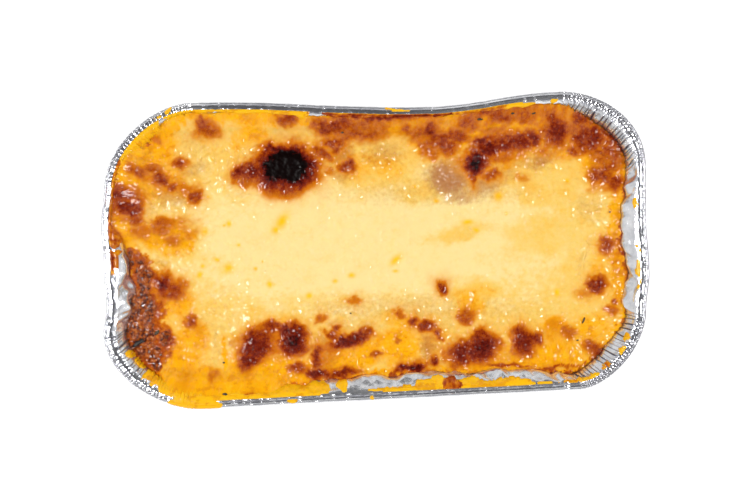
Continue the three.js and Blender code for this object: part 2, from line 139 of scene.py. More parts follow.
# Blisters and valleys of the baked surface: x, y, half sizes, turn, height.
BLISTERS = (
    (-30.3, 28.2, 9.5, 7, 0, 1.7), (-41.5, 28, 6.5, 4, 0, 1), (-41.8, -33, 7.5, 5.2, 50, 1.5),
    (-29, -30.5, 5.4, 5, 60, 1.4), (-7, -30, 8.5, 3.8, 14, 1.3), (34.5, -34.5, 8.2, 4.8, 14, 1.6),
    (52.5, -31.8, 5.2, 4.6, 0, 1.4), (15.5, -25, 6, 3.2, -20, 0.9), (36.5, 32.5, 5.5, 5, 0, 1.2),
    (47, 37.5, 8, 4, 15, 1.1), (60, 39.5, 6.5, 5.2, 0, 1.4), (79.5, 25, 5, 4.4, 0, 1.2),
    (77, -12.5, 4.2, 3.6, 0, 1), (-84.5, 17, 6.5, 4.5, 0, 1.1), (-76.5, 24, 7, 3.6, -20, 1),
    (-72.8, -12, 5, 4.4, 0, 1.2), (-59.5, 42, 6, 3.6, 0, 0.9), (-52, -20, 5, 9, 0, -1.2),
    (-23, -40, 5, 5, 0, -1.4), (21.5, -36, 4, 6, -15, -1.1), (8, 30, 16, 7, 0, -0.7),
)

# Browned spots: x, y, half sizes, turn, browning by the BROWNING table, and rise.
BROWN_SPOTS = (
    # the charred bubble and its tail
    (-30.6, 28.7, 8.6, 6, 0, 1.5, 0.2), (-31.8, 27.8, 9.2, 7, 0, 0.84, 0),
    (-42, 27, 6, 3.4, -6, 0.58, 0.3), (-47.2, 26.6, 3, 1.9, 0, 0.58, 0.1),
    (-45, 23.4, 4, 1.8, 0, 0.3, 0),
    # back right
    (35, 29.6, 3.4, 3.2, 0, 0.9, 0.3), (39.8, 34.8, 3.8, 3, 40, 0.66, 0.2),
    (37.2, 36.6, 3.2, 1.6, 0, 0.52, 0.1), (45.2, 36.7, 3.2, 2.2, 10, 0.52, 0),
    (50.4, 38, 4.2, 2.2, 0, 0.52, 0.2), (55, 39.2, 1.8, 2.4, 0, 0.54, 0.1),
    (34, 24.6, 1.4, 3, 0, 0.4, 0), (40.6, 25.6, 4, 1.8, 15, 0.32, 0),
    (62.4, 41.4, 4.6, 4.4, 0, 0.54, 0.3), (28.6, 39.4, 3, 2.2, 0, 0.38, 0.3),
    (24.6, 35.6, 3.2, 2.2, 0, 0.34, 0.1), (19.4, 34, 3.8, 2.8, 0, 0.24, 0.1),
    (19, 41, 2, 2, 0, 0.42, 0.2), (14, 39.8, 3, 1.8, 0, 0.26, 0.1),
    (71.4, 38.8, 2.8, 4.2, 0, 0.46, 0.1), (76.6, 39.6, 2.8, 3.2, -20, 0.5, 0.2),
    (68.5, 34.5, 1.7, 1.6, 0, 0.38, 0.2), (78, 32.6, 2.8, 2.4, 0, 0.26, 0.1),
    (82.5, 34.4, 6.4, 4, -45, 0.29, 0), (77.5, 26, 3.8, 3.5, 0, 0.42, 0.2),
    (83.4, 23.4, 2.9, 2.5, 0, 0.4, 0.1), (70.6, 45.4, 4, 1.6, -15, 0.42, 0),
    (83.2, 37.6, 9, 1.5, -45, 0.46, 0), (45, 44, 2.6, 1.6, 0, 0.36, 0.1),
    (36.8, 46, 2.6, 1.2, 0, 0.4, 0), (47.6, 48.6, 2.2, 1.2, 0, 0.38, 0),
    (54.6, 48.6, 2.4, 1.4, 0, 0.4, 0), (51, 25.2, 3, 2.2, 0, 0.16, 0),
    # right
    (80.5, 1.6, 3.3, 2.9, 0, 0.41, 0.2), (76.5, -12.6, 3.1, 2.9, 0, 0.52, 0.1),
    (72.6, -15.2, 3.8, 2, 0, 0.16, 0), (81.6, -20.4, 2.2, 1.9, 0, 0.27, 0.1),
    (83.6, -17.8, 1.2, 1.2, 0, 0.3, 0), (76.8, -34.6, 3.8, 2.3, -10, 0.42, 0.2),
    (67, -28.6, 2.4, 2.4, 0, 0.28, 0.2), (62.5, -26.6, 5, 4, 0, 0.14, 0),
    # front
    (36.9, -33.6, 5.2, 4.7, 10, 0.68, 0.2), (29.6, -35.9, 3.9, 3.8, 0, 0.62, 0.2),
    (51.4, -31.8, 4, 4.4, 0, 0.58, 0.3), (55.6, -31, 3, 2.2, 0, 0.5, 0.1),
    (23.6, -12.5, 1.7, 2.1, 0, 0.5, 0.1), (31.4, -23.3, 3.1, 2.4, 0, 0.33, 0.2),
    (-8.6, -31, 6.8, 2.2, 12, 0.66, 0.3), (-3.4, -28.8, 3.2, 2, 30, 0.44, 0.1),
    (-28.4, -28.6, 5, 2.8, 0, 0.68, 0.1), (-28.9, -32.4, 4, 3.6, 0, 0.8, 0.1),
    (-41.4, -32.4, 5.4, 4.8, 30, 0.6, 0.2), (-43.6, -37.6, 3, 4, -20, 0.6, 0.1),
    (-36.6, -26.6, 3, 2.6, 0, 0.46, 0), (-33, -26.6, 4.4, 1.8, 0, 0.4, 0),
    (-20.4, -36.8, 1.8, 4.4, 0, 0.45, 0), (-19.6, -42.4, 3.8, 1.7, 0, 0.62, 0),
    (-11.6, -43, 6.4, 1.2, 3, 0.5, 0), (-14.4, -29.4, 2.6, 1.6, 0, 0.36, 0),
    (13.5, -41.1, 5, 1.2, 6, 0.76, 0.1), (21.4, -38.5, 1.4, 1.8, 0, 0.5, 0.1),
    (13, -24.3, 2, 1.6, 0, 0.46, 0.1), (18, -26.4, 2.9, 1.8, -28, 0.48, 0.1),
    (7.8, -22.2, 2.2, 1.1, -10, 0.3, 0), (21.5, -30, 1.2, 2.6, 10, 0.36, 0),
    (-26.6, -41, 3.2, 1.9, 0, 0.4, 0.2), (-7, -17.8, 3.2, 1.4, 8, 0.22, 0),
    (-19.2, -23.7, 2, 1.8, 0, 0.25, 0.1), (-12.6, -27.2, 1.6, 1.5, 0, 0.4, 0),
    (0.2, -36.5, 2.5, 1, 0, 0.31, 0), (8.4, -30.9, 1.1, 1.1, 0, 0.25, 0),
    (46, -40.2, 8, 0.8, 0, 0.36, 0), (62, -40.8, 10, 0.7, 6, 0.36, 0),
    # front left
    (-73.6, -11, 2.3, 2.3, 0, 0.72, 0.1), (-73.4, -11, 4.4, 4, 0, 0.42, 0.1),
    (-69.2, -14.4, 3.4, 2.8, 0, 0.36, 0), (-66.6, -12.6, 2.6, 3.2, 0, 0.22, 0),
    (-64, -25.6, 2.4, 2.5, 0, 0.35, 0.2), (-56, -43.4, 2.4, 1.6, 0, 0.2, 0.3),
    (-41.4, -49, 2, 1.1, 0, 0.4, 0.1), (-79.4, -36.6, 3.2, 2.2, -20, 0.34, 0.1),
    (-75.6, -39.6, 2, 1.7, 0, 0.34, 0.2), (-72.2, -31.2, 2.2, 3.6, 0, 0.5, 0.1),
    (-66, -44, 3.2, 4.4, 0, 0.13, 0), (-61, -28, 2.6, 4.6, 10, 0.13, 0),
    # back left
    (-85.6, 18.8, 3, 2.5, 0, 0.43, 0.3), (-89.6, 16.6, 2.3, 3, 0, 0.53, 0.1),
    (-84.2, 14.2, 3.3, 2.4, -20, 0.55, 0.3), (-82, 11, 2.4, 2.6, 0, 0.33, 0.4),
    (-80.4, 6.8, 4.2, 3.4, 0, 0.21, 0.3), (-74.4, 24.6, 2.4, 2, -35, 0.43, 0.2),
    (-71, 21.6, 2, 1.5, -20, 0.39, 0.1), (-76.6, 28, 3.4, 1.5, -15, 0.31, 0.1),
    (-81.2, 26.8, 3, 2.2, 0, 0.31, 0.1), (-91, 8, 1.6, 2.4, 0, 0.51, 0.1),
    (-90.6, -3, 1.8, 6.4, 0, 0.45, 0), (-68.2, 30, 3, 1.9, 0, 0.37, 0.2),
    (-65, 21.2, 4.4, 2.8, 0, 0.2, 0.1), (-62.2, 18.6, 2, 2.3, 0, 0.38, 0.2),
    (-73.6, 8.6, 4.2, 2.8, 0, 0.29, 0.2), (-70.4, 3.6, 4, 2.8, 0, 0.2, 0),
    (-57.2, 41, 4, 2.4, 0, 0.34, 0.2), (-60.6, 39.6, 4.6, 2.6, 0, 0.16, 0.1),
    (-76, 39.2, 2.6, 1.4, -30, 0.21, 0.1),
    # back
    (-30.4, 44, 3.5, 2.1, 0, 0.44, 0.3), (-17, 42.3, 4, 1.6, 5, 0.48, 0.1),
    (-12.4, 43, 4.4, 1.8, 10, 0.4, 0.1), (8, 45.6, 16, 1.7, 2, 0.6, 0),
    (2.6, 44.9, 3, 1.2, 0, 0.66, 0), (-18, 33, 3.8, 1.4, -38, 0.36, 0.1),
    (-14.4, 37, 3.6, 1.3, 15, 0.36, 0.1), (-10.4, 38.6, 2.2, 1.6, 0, 0.3, 0.1),
    (-9.6, 29, 2.5, 2.3, 0, 0.4, 0.1), (-15, 27, 2.2, 1.8, 0, 0.2, 0.1),
    (10.2, 40.8, 1.5, 1.3, 0, 0.36, 0.3),
)
# Wide golden and orange grounds under the spots: x, y, half sizes, turn, browning.
BROWN_GROUNDS = (
    (44, 46.4, 26, 5, 6, 0.32), (43, 36, 15, 6.4, 12, 0.32), (22, 38.5, 12, 5, 0, 0.3),
    (-6, 41.6, 16, 4.2, 0, 0.28), (75, 38.5, 11, 7.5, -38, 0.34), (80.5, 27, 7, 7.5, 0, 0.28),
    (-85.5, 16.5, 7, 6, 0, 0.28), (-76.5, 25, 7, 3.6, -15, 0.2), (-72, 6, 8, 5, 0, 0.12),
    (-90.6, 6, 2.8, 13, 0, 0.42), (-36, -31.5, 12, 8, 0, 0.16), (-68, 22, 8, 6, 0, 0.1),
    (-14, 37, 5.5, 4.5, 0, 0.3), (-67, 8, 8, 6, 0, 0.15), (-17, -36, 7, 7, 0, 0.2),
    (-72, -14, 8, 6, 0, 0.22), (33, -35, 12, 7, 5, 0.2), (60, 36, 14, 4, 0, 0.2),
    (84, 0, 3, 24, 0, 0.14), (-30, 46.4, 22, 2.6, 0, 0.14), (-76, -36, 6, 7, 0, 0.14),
    (66, -30, 9, 5, 0, 0.1),
)

# Where oil has turned the cheese yellow: x, y, half sizes, turn, strength.
YELLOW_PATCHES = (
    (-79.2, 34.8, 14.5, 10, 35, 1), (-45.2, 46.6, 28, 4.4, 0, 1), (-42.5, 40, 7.5, 6, 0, 0.85),
    (-48.5, 37, 2.6, 4.6, 15, 0.7), (-72, 4.4, 11, 7.2, -8, 1), (-65, 3, 3.6, 5, 0, 1),
    (-76, 23, 12, 8, 0, 0.8), (-85, 8, 6, 10, 0, 0.9), (-89.5, 2, 4.5, 20, 0, 0.9),
    (-70, -19, 9, 7.5, 0, 0.8), (-63, -29, 7, 7, 0, 0.85), (-66, -36, 9, 10, 0, 0.9),
    (-62, -47.6, 26, 8, 0, 1), (-43, -42.5, 12, 9, 0, 1), (-30, -42, 14, 7, 0, 0.95),
    (-12, -38.5, 13, 6, 0, 0.95), (-3, -35, 6, 8, 0, 0.95), (8, -33, 11.5, 10, 0, 0.85),
    (9, -24.5, 8, 3.6, -15, 0.8), (57, -37, 24, 6, 4, 0.9), (44, -36, 6, 6, 0, 0.75),
    (72.4, -29.3, 15, 8, 30, 0.75), (62.6, -26.5, 7, 4.6, 0, 0.85), (84, 2, 4.6, 27, 0, 1),
    (78.5, -6.8, 6.5, 16, 0, 0.6), (0, 29, 17, 9, 0, 0.62), (15, 21, 10, 5, 0, 0.42),
    (33, -18, 7, 8, 0, 0.75), (38, -14.4, 8, 3.6, -10, 0.6), (-52.2, -37, 1.6, 8, 0, 0.95),
    (30, 6, 12, 3, 12, 0.42), (60, 5, 17, 9, 0, 0.42), (70, -8, 8, 14, 0, 0.4),
    (60, 21, 16, 8, 0, 0.46), (65.7, -32.8, 9, 6, 0, 0.7), (44, 43, 24, 7, 6, 1),
    (22, 37.5, 14, 5, 0, 0.9), (44, 33, 14, 6, 10, 0.8), (66, 35.5, 12, 5, -10, 0.7),
    (-85, 26, 6, 12, -20, 0.95), (4, 42, 22, 4, 0, 0.85), (-16, 36, 9, 6, 0, 0.6),
    (78, 32, 9, 10, -30, 0.9), (42, -40, 18, 3.2, 0, 0.9), (-33, -24.5, 9, 4, 0, 0.55),
    (10, -18, 60, 3.6, 0, 0.26), (-57, 26, 5, 12, 0, 0.3),
)
# The pale middle of the cheese: x, y, half sizes, turn.
PALE_MIDDLE = (-4.0, 3.0, 84.0, 31.0, 0)

# Where meat sauce shows dimly through, and two long bands of painted shade that darken the cream
# towards the front and the back: x, y, half sizes, turn, strength, share of pink in the tan.
TAN_PATCHES = (
    (-14.6, 34.4, 7.6, 5.6, 0, 0.9, 0.1), (-10.6, 26.6, 2.6, 4.4, 0, 0.4, 0.3),
    (-1.6, 39.6, 7.6, 4.4, 0, 0.6, 0.5), (3, 33, 9, 5, 0, 0.5, 0.3),
    (26.4, 25.4, 9.6, 8, 10, 0.9, 0.8), (36.5, 23.5, 9, 7, 15, 0.7, 0.75),
    (29, 19.4, 8, 4.6, 0, 0.6, 0.9), (26, 31.5, 5, 2.6, 0, 0.6, 0.6),
    (46, 27.4, 6, 3.4, 0, 0.45, 0.7), (52, 31, 6, 3.6, 0, 0.5, 0.5),
    (73.5, 38.3, 5, 5, 0, 0.8, 0.3), (14, 40, 7, 3.8, 0, 0.55, 0.3),
    (-71, 20, 10.5, 6, -8, 0.6, 0.5), (-64, 28, 7, 4, 20, 0.45, 0.4), (-80, 31, 6, 3, 30, 0.4, 0.2),
    (-78, 14, 4, 3, 0, 0.36, 0.7), (74, 14, 6.4, 7, 0, 0.34, 0.6),
    (-55.6, -32.8, 3, 9.5, -4, 0.3, 1), (-59.4, -25, 3.6, 7, 0, 0.26, 1),
    (-7, -17.6, 4, 1.8, 0, 0.42, 0.6), (-56, 33.8, 7, 7.5, 0, 0.2, 0.6),
    (58, 32, 3.4, 6.4, -35, 0.7, 0.3), (-18, -35.4, 5, 6, 0, 0.95, 0.4),
    (-12, -25.6, 7, 3, 0, 0.36, 0.5), (83, 33.5, 5, 7, -35, 0.6, 0.2),
    (-11.3, 26, 4.2, 3.6, 0, 0.55, 0.6), (74, -15, 5.4, 2.8, 0, 0.4, 0.7),
    (-76, -5, 5, 4, 0, 0.36, 0.4), (-78, -14, 3, 8, 0, 0.4, 0.3),
    (-48.4, -32.6, 1.6, 2.4, 0, 0.5, 0.9), (24, -27, 6, 6, 0, 0.3, 0.8),
    (18.6, -34.2, 3.4, 6, 0, 0.7, 0.2), (48, -24.4, 11, 4, 0, 0.22, 0.8),
    (46, -36.6, 3, 3.4, 0, 0.36, 0.9), (79, 36.6, 6, 4, -40, 0.5, 0.1),
    # The first and the last oval on this line are the bands of painted shade, at y -20.5 and 20.
    (16, -20.5, 52, 6, 0, 0.32, 0.5), (-63, 37, 7, 6, 0, 0.3, 0.4), (22, 20, 46, 6, 0, 0.3, 0.3),
)

# Pinholes where oil has pooled: x, y, half sizes, turn.
OIL_PITS = (
    (-59, 6.3, 1.2, 1.5, 0), (-50.6, 9, 1, 1.1, 0), (-52.3, 8.5, 0.5, 0.5, 0),
    (-47.2, 1.7, 0.7, 0.6, 0), (-32.2, 9.8, 3.4, 2, 55), (-34.6, 7.2, 1.8, 1.4, 0),
    (-58.2, 18.7, 0.7, 0.5, 0), (-56.9, 31.5, 0.8, 0.6, 0), (-59.8, -5.4, 0.9, 0.8, 0),
    (-60.4, -8.8, 1, 1.2, 0), (-54.8, -3.3, 0.9, 0.6, 0), (-50.6, -6.4, 1.6, 1.9, 20),
    (-41.4, -6.4, 0.7, 0.6, 0), (-36.3, -12.1, 1.1, 1, 0), (-39, -3.9, 0.4, 0.4, 0),
    (-14, -10.6, 0.9, 0.8, 0), (-8.3, -8.6, 1.3, 0.8, 10), (7.2, -3.4, 2.6, 1.4, 40),
    (7.2, -7.4, 1, 0.6, 0), (-23.1, -15.6, 1.4, 1.2, 0), (42.8, 18.7, 1.9, 1.9, 0),
    (66.7, 24.2, 0.7, 0.7, 0), (45.2, 13, 0.5, 0.5, 0), (63.4, -14.9, 1.3, 1.3, 0),
    (32.3, 9.5, 2.4, 1.1, 0), (35.2, 6.9, 1.2, 0.7, -20), (13.5, 22.3, 0.8, 0.6, 0),
    (21.1, 17.2, 1.1, 0.8, -20),
)

# Where the surface is granular and glistens: x, y, half sizes, turn, strength.
GLISTENING = (
    (-53, -22, 6, 10, 0, 1), (-12, -21.5, 10, 5, 0, 1), (-48, 28, 6, 11, 0, 0.9),
    (-58, 31, 5, 9, 0, 1), (-76, 27, 13, 10, -20, 0.8), (-82, 12, 8, 8, 0, 1),
    (-63, -38, 11, 9, 0, 0.9), (-36, -40, 10, 6, 0, 0.7), (-70, -17, 7, 8, 0, 0.7),
    (73, -4, 4, 10, 0, 1), (60, 35, 12, 6, 0, 0.9), (33, 27, 12, 8, 0, 0.7),
    (-10, 32, 9, 8, 0, 0.7), (46, -25, 9, 4, 0, 0.7), (72, -27, 8, 6, 0, 0.5),
)

# Thin standing edges in the melted cheese: start x, y, end x, y, bow to the left, height.
WRINKLES = (
    (73.6, 1.0, 72.0, -9.8, -0.8, 0.8), (54.0, 38.0, 58.8, 36.6, 0.6, 0.35),
    (58.6, 36.4, 66.6, 37.2, -2.4, 0.45), (66.8, 37.4, 67.4, 43.6, -1.2, 0.4),
    (72.4, -33.6, 80.2, -24.6, 1.2, 0.3), (74.6, -35.0, 79.0, -29.5, 0.6, 0.3),
    (-23.8, -26.5, -22.2, -40.5, 1.6, 0.5), (20.0, -26.4, 22.6, -32.0, -0.6, 0.35),
    (16.8, 33.0, 31.8, 29.6, 1.2, 0.3), (55.4, 31.0, 53.6, 26.0, 1.0, 0.25),
    (-14.5, 30.5, -9.0, 34.0, 0.8, 0.3), (-47.0, -20.0, -36.0, -22.5, 0.8, 0.25),
)
WRINKLE_WIDTH = 0.55

# A ribbed sliver of onion under the cheese: x, y, half sizes, turn.
ONION = (57.9, 33.8, 2.4, 4.4, -30)
ONION_RIB_SPACING = 0.75
ONION_RIB_HEIGHT = 0.09

# Meat sauce that lies open: overlapping ovals, x, y, half sizes, turn.
SAUCE_OVALS = (
    (-84.7, -3, 1.8, 2.4, 0), (-80.2, -9.6, 2.6, 6, 12), (-81.4, -21, 5.4, 8.6, 0),
    (-81.2, -28, 5.2, 6.6, 0), (-78.6, -35.6, 5.6, 4, -20), (-72.8, -31, 1.7, 3.2, 0),
    (-75.9, -39.6, 1.9, 1.8, 0),
)
# The mince lies in this rectangle: centre and half sizes.
MINCE_FIELD = (-79.6, -21.0, 9.0, 21.0)
MINCE_COUNT = 260

# Cheese that ran or splashed on the wall: x, y, half sizes, turn, thickness, browning.
WALL_SMEARS = (
    (-91.6, 19, 6, 19, 0, 0.6, 0.24), (-91.6, -4.4, 1.3, 5.4, 0, 0.4, 0.42),
    (-89.6, -3.2, 1.5, 3, 0, 0.4, 0.2), (-84, 36, 8, 14, -38, 0.6, 0.01),
    (-73.5, 44.2, 11, 6.4, 24, 0.5, 0.01), (-45, 46.6, 26, 5.4, 0, 0.6, 0),
    (-10, 45.6, 21, 4.6, -2, 0.5, 0.36), (16, 45.2, 15, 4.2, 0, 0.5, 0.56),
    (36, 46.6, 14, 4.4, 7, 0.5, 0.2), (50, 48, 7, 3.6, 6, 0.5, 0.04),
    (-63, -48.4, 13, 6, -4, 0.9, 0), (-44, -48.6, 19, 5, 2, 0.7, 0), (-24, -48.2, 9, 3, 4, 0.6, 0),
    (-11.3, -46.3, 2.4, 2.6, 0, 0.5, 0), (7.5, -48.6, 10, 0.9, 2, 0.3, 0),
    (17.5, -47.2, 3.4, 2.4, 0, 0.5, 0), (21.6, -46.2, 2.6, 2.8, 0, 0.5, 0),
    (26.4, -46.4, 3.4, 3, 0, 1.3, 0.32), (33.5, -46.6, 5, 2.7, 2, 0.6, 0),
    (45.5, -46.8, 11.4, 2.2, 3, 0.6, 0), (60, -46.8, 5.4, 1.2, 3, 0.4, 0),
    (67, -45.9, 3.4, 1, 6, 0.4, 0.15), (76, -43.2, 2.4, 0.8, 24, 0.4, 0),
    (85.8, -35.2, 0.8, 2, -40, 0.4, 0), (80.4, -40.2, 2.4, 0.9, 38, 0.4, 0.2),
    (87.6, -30.4, 0.8, 1.8, -24, 0.4, 0.1), (72, -44.8, 2.6, 0.9, 12, 0.4, 0.1),
    (91.6, -6, 0.5, 9, 0, 0.25, 0), (90.6, 16.5, 1.1, 2, 0, 0.4, 0),
    (-84.8, -36.4, 1.6, 1.2, 0, 0.4, 0), (-81.4, -39, 2, 1.5, -40, 0.5, 0),
    (-78, -43.2, 2.4, 1.8, -30, 0.6, 0), (-74.6, -45.6, 3.2, 2.4, -20, 0.7, 0),
)
# How far down the outside of the rim smears may lie, the heights of their rings on the wall, the
# thickness of one whose level is 1, and how far their hidden face stands out from the foil.
SMEAR_RIM_DEPTH = 1.2
SMEAR_HEIGHTS = (41.0, 34.4, -0.4)
SMEAR_THICKNESS = 0.4
SMEAR_DEPTH = -0.08
# Their marks that are the same all over.
SMEAR_MARKS = {"yellow": 1.0, "pits": 0.6, "tan": 0.0, "pink": 0.0, "sauce": 0.0, "wet": 1.0}
# Smears on the rim, the same way as those on the wall.
RIM_SMEARS = (
    (-63, -54, 9.5, 3.6, -2, 0.5, 0), (-57, -55, 3, 1.6, 6, 0.5, 0.01),
    (62.2, 51.6, 1.3, 0.8, 0, 0.4, 0), (7.8, 48.4, 4.3, 0.5, -3, 0.2, 0),
    (-72, 48.2, 1.4, 0.6, 30, 0.3, 0), (-75.4, 46, 1.2, 0.6, 35, 0.3, 0),
    (-28.4, -52.4, 1.6, 0.6, 0, 0.4, 0), (-1.2, -51.6, 0.8, 0.6, 0, 0.4, 0),
)
# Places that the smears leave bare: x, y, half sizes, turn.
BARE_FOIL = (
    (-20.6, 46.6, 3.6, 1.3, 0), (-56, 47.4, 3.6, 0.9, 0), (-64.4, 46.6, 2.6, 1, 10),
    (-67.4, 44.8, 1.6, 1.2, 0), (-74, 44.2, 2, 1, 25), (-87.4, -10.5, 1.4, 8, 0),
)

# Dried herb flecks: x, y, half sizes, turn.
HERB_FLECKS = (
    (72.6, -24.4, 1.2, 0.35, 65), (36.5, 45.4, 1.1, 0.4, 5), (47.8, 47.4, 0.6, 0.35, 0),
    (55, 47.4, 0.7, 0.35, 20), (-75.8, -28.7, 1.1, 0.6, 40), (-52.6, -39.2, 0.5, 0.3, 0),
    (-52, -50, 0.9, 0.45, -10), (-11.3, 40.8, 0.45, 0.35, 0), (-8.5, -22, 0.35, 0.25, 0),
    (81.6, 13.2, 0.3, 0.25, 0), (70.4, -31.4, 0.4, 0.25, 0),
)
HERB_THICKNESS = 0.16
# The burnt flake, the same way.
BURNT_FLAKE = (-82.2, -32.2, 2.2, 0.9, 30)
BURNT_THICKNESS = 1.2

# The stage. The tent's brightness by height, from level to straight up.
SKY_STOPS = (
    (0.0, (1.0, 1.0, 1.0)),
    (0.55, (1.0, 1.0, 1.0)),
    (0.84, (0.32, 0.32, 0.34)),
    (0.92, (0.03, 0.03, 0.04)),
)
# The tent is lit from this side: its lower part is dark on the other.
SKY_SIDE = (-0.8, 0.6, 0.0)
# A dark gap and a bright panel in the tent: direction, and the change of its brightness.
SKY_PATCHES = (
    ((0.0, 0.56, 0.83), -0.8),
    ((0.05, -0.56, 0.83), 0.75),
)
# Name, place, size, share of the key's power, tint.
LIGHTS = (
    ("key", (-0.42, -0.03, 0.91), 0.24, 1.35, (1.0, 0.99, 0.97)),
    ("fill", (0.64, 0.08, 0.76), 0.26, 0.95, (1.0, 1.0, 1.0)),
)

# Browning by how far it has gone, and the setting that holds its colour.
BROWNING = (
    (0.07, "golden"),
    (0.2, "orange"),
    (0.34, "toasted"),
    (0.5, "brown"),
    (0.72, "dark"),
    (0.9, "scorched"),
    (1.0, "burnt"),
)

# Pitches of the food's grain: how many cells there are to a metre, more or less.
GRAIN_SCALES = (
    ("Cloud Scale", 260.0), ("Coarse Scale", 800.0), ("Fine Scale", 1900.0), ("Lump Scale", 450.0),
)

# Grids: stations round each corner and along each side, and the cheese's cells both ways.
CORNER_STATIONS = 212
SIDE_STATIONS = (115, 270, 115, 270)
CHEESE_CELLS = (408, 222)

# The filling's rings, height and inset, and how many of the plan's stations it steps over.
FILLING_RINGS = ((1.0, 3.9), (2.0, 2.1), (4.0, 0.9), (12.0, 0.9), (22.0, 0.9), (33.0, 0.9))
FILLING_STRIDE = 3
# Heights at which the cheese's plan is worked out, and which of them its marks are placed by.
CHEESE_LEVELS = (
    FILLING_TOP + 0.4, 36.3, BUCKLE_CREASE, 39.4, 40.8, LIP_LEVEL, 42.9, 43.9, TRAY_HEIGHT - 0.3
)
MARKED_LEVEL = 2
# The cheese is drawn onto the crumpled foil over this distance, and keeps this gap from it.
FOIL_HOLD = 4.0
FOIL_GAP = 0.06
# The skirt under the cheese's border: shares of the way down to the underside, and its scale in plan.
SKIRT_SHARES = (0.1, 0.25, 0.4, 0.6, 0.8, 1.0)
SKIRT_SCALE = 0.997

LATTICE_SIZE = 256
DIAGONAL_SEED = 99
MICROSCOPIC = 1e-9


# ---- Numbers -------------------------------------------------------------------------------------
def ramp(low, high, value):
    """0 below low, 1 above high, and 3t^2 - 2t^3 of the share t between them."""
    t = np.clip((value - low) / (high - low), 0.0, 1.0)
    return t * t * (3.0 - 2.0 * t)


def hump(offset, before, after):
    """A raised cosine: half of 1 + cos of the offset over its reach, and 0 past the reach."""
    share = np.abs(offset) / np.where(offset < 0, before, after)
    return np.where(share < 1, 0.5 * (1 + np.cos(math.pi * np.minimum(share, 1))), 0.0)


def oval_reach(x, y, centre_x, centre_y, a, b, turn):
    """Distance from an oval's centre in units of its own half sizes, after turning into its axes."""
    c, s = math.cos(math.radians(turn)), math.sin(math.radians(turn))
    dx, dy = x - centre_x, y - centre_y
    return np.hypot((dx * c + dy * s) / a, (dy * c - dx * s) / b)


def lattice_values(i, j, seed, period):
    """Random numbers from -1 to 1 at whole places i, j, the same for the same seed. With a period
    they repeat along i."""
    table = np.random.default_rng(seed).uniform(-1, 1, (LATTICE_SIZE, LATTICE_SIZE))
    if period:
        i = np.mod(i, period)
    return table[np.mod(i, LATTICE_SIZE), np.mod(j, LATTICE_SIZE)]


def lattice_cell(u, v, seed, period):
    """Each place's share of its lattice cell both ways, and the values at the cell's four corners."""
    i, j = np.floor(u).astype(int), np.floor(v).astype(int)
    corners = ((i, j), (i + 1, j), (i + 1, j + 1), (i, j + 1))
    return u - i, v - j, [lattice_values(*corner, seed, period) for corner in corners]


def soft_noise(u, v, seed, period=0):
    """Value noise: lattice values joined by the curve 6t^5 - 15t^4 + 10t^3 both ways."""
    fu, fv, (a, b, c, d) = lattice_cell(u, v, seed, period)
    su, sv = (f * f * f * (f * (f * 6 - 15) + 10) for f in (fu, fv))
    near, far = a + (b - a) * su, d + (c - d) * su
    return near + (far - near) * sv


def layered_noise(u, v, octaves, seed, period=0):
    """Value noise plus itself at twice the pitch and about half the height, octaves times over."""
    total, height, pitch = 0.0, 1.0, 1
    for octave in range(octaves):
        total = total + height * soft_noise(u * pitch, v * pitch, seed + octave, period * pitch)
        height, pitch = height * 0.55, pitch * 2
    return total


def crumple(u, v, seed, period=0):
    """Flat triangles with sharp creases: lattice values joined by planes, each cell cut on one
    diagonal."""
    fu, fv, (a, b, c, d) = lattice_cell(u, v, seed, period)
    rising = np.where(fu > fv, a + (b - a) * fu + (c - b) * fv, a + (d - a) * fv + (c - d) * fu)
    falling = np.where(
        fu + fv < 1, a + (b - a) * fu + (d - a) * fv, c + (d - c) * (1 - fu) + (b - c) * (1 - fv)
    )
    chosen = lattice_cell(u, v, seed + DIAGONAL_SEED, period)[2][0]
    return np.where(chosen > 0, rising, falling)


# ---- Plans ---------------------------------------------------------------------------------------
def corner_curve(corner, share):
    """A quarter superellipse: centre plus radii times sine and cosine raised to 2 over the power."""
    x, y, rx, ry, power, start = corner
    angle = start + share * math.pi / 2
    c, s = np.cos(angle), np.sin(angle)
    return np.stack(
        [
            x + np.sign(c) * np.abs(c) ** (2 / power) * rx,
            y + np.sign(s) * np.abs(s) ** (2 / power) * ry,
        ],
        axis=-1,
    )


def base_corner(corner):
    """The floor's corner under a rim corner: a plain quarter circle."""
    x = math.copysign(BASE_LENGTH / 2 - BASE_CORNER, corner[0])
    y = math.copysign(BASE_WIDTH / 2 - BASE_CORNER, corner[1])
    return (x, y, BASE_CORNER, BASE_CORNER, 2.0, corner[5])


def plan(corners, dents):
    """A closed plan, anticlockwise: every corner in equal steps, then its side with its dents pushed
    along the side's outward normal. Returns the points, each point's corner (-1 on a side) and its
    share of it."""
    points, owners, shares = [], [], []
    for n, corner in enumerate(corners):
        share = np.arange(CORNER_STATIONS) / CORNER_STATIONS
        points.append(corner_curve(corner, share))
        owners.append(np.full(CORNER_STATIONS, n))
        shares.append(share)
        start = corner_curve(corner, np.array(1.0))
        end = corner_curve(corners[(n + 1) % 4], np.array(0.0))
        out = np.array([end[1] - start[1], start[0] - end[0]])
        out /= np.hypot(*out)
        share = np.arange(SIDE_STATIONS[n]) / SIDE_STATIONS[n]
        push = sum(
            (p * hump(share - at, before, after) for side, at, before, after, p in dents if side == n),
            np.zeros_like(share),
        )
        points.append(start + (end - start) * share[:, None] + out * push[:, None])
        owners.append(np.full(SIDE_STATIONS[n], -1))
        shares.append(share)
    return np.concatenate(points), np.concatenate(owners), np.concatenate(shares)


def plan_normals(points):
    """Outward unit normals of a closed plan, from each point's two neighbours."""
    step = np.roll(points, -1, axis=0) - np.roll(points, 1, axis=0)
    return np.stack([step[:, 1], -step[:, 0]], axis=-1) / np.hypot(step[:, 0], step[:, 1])[:, None]


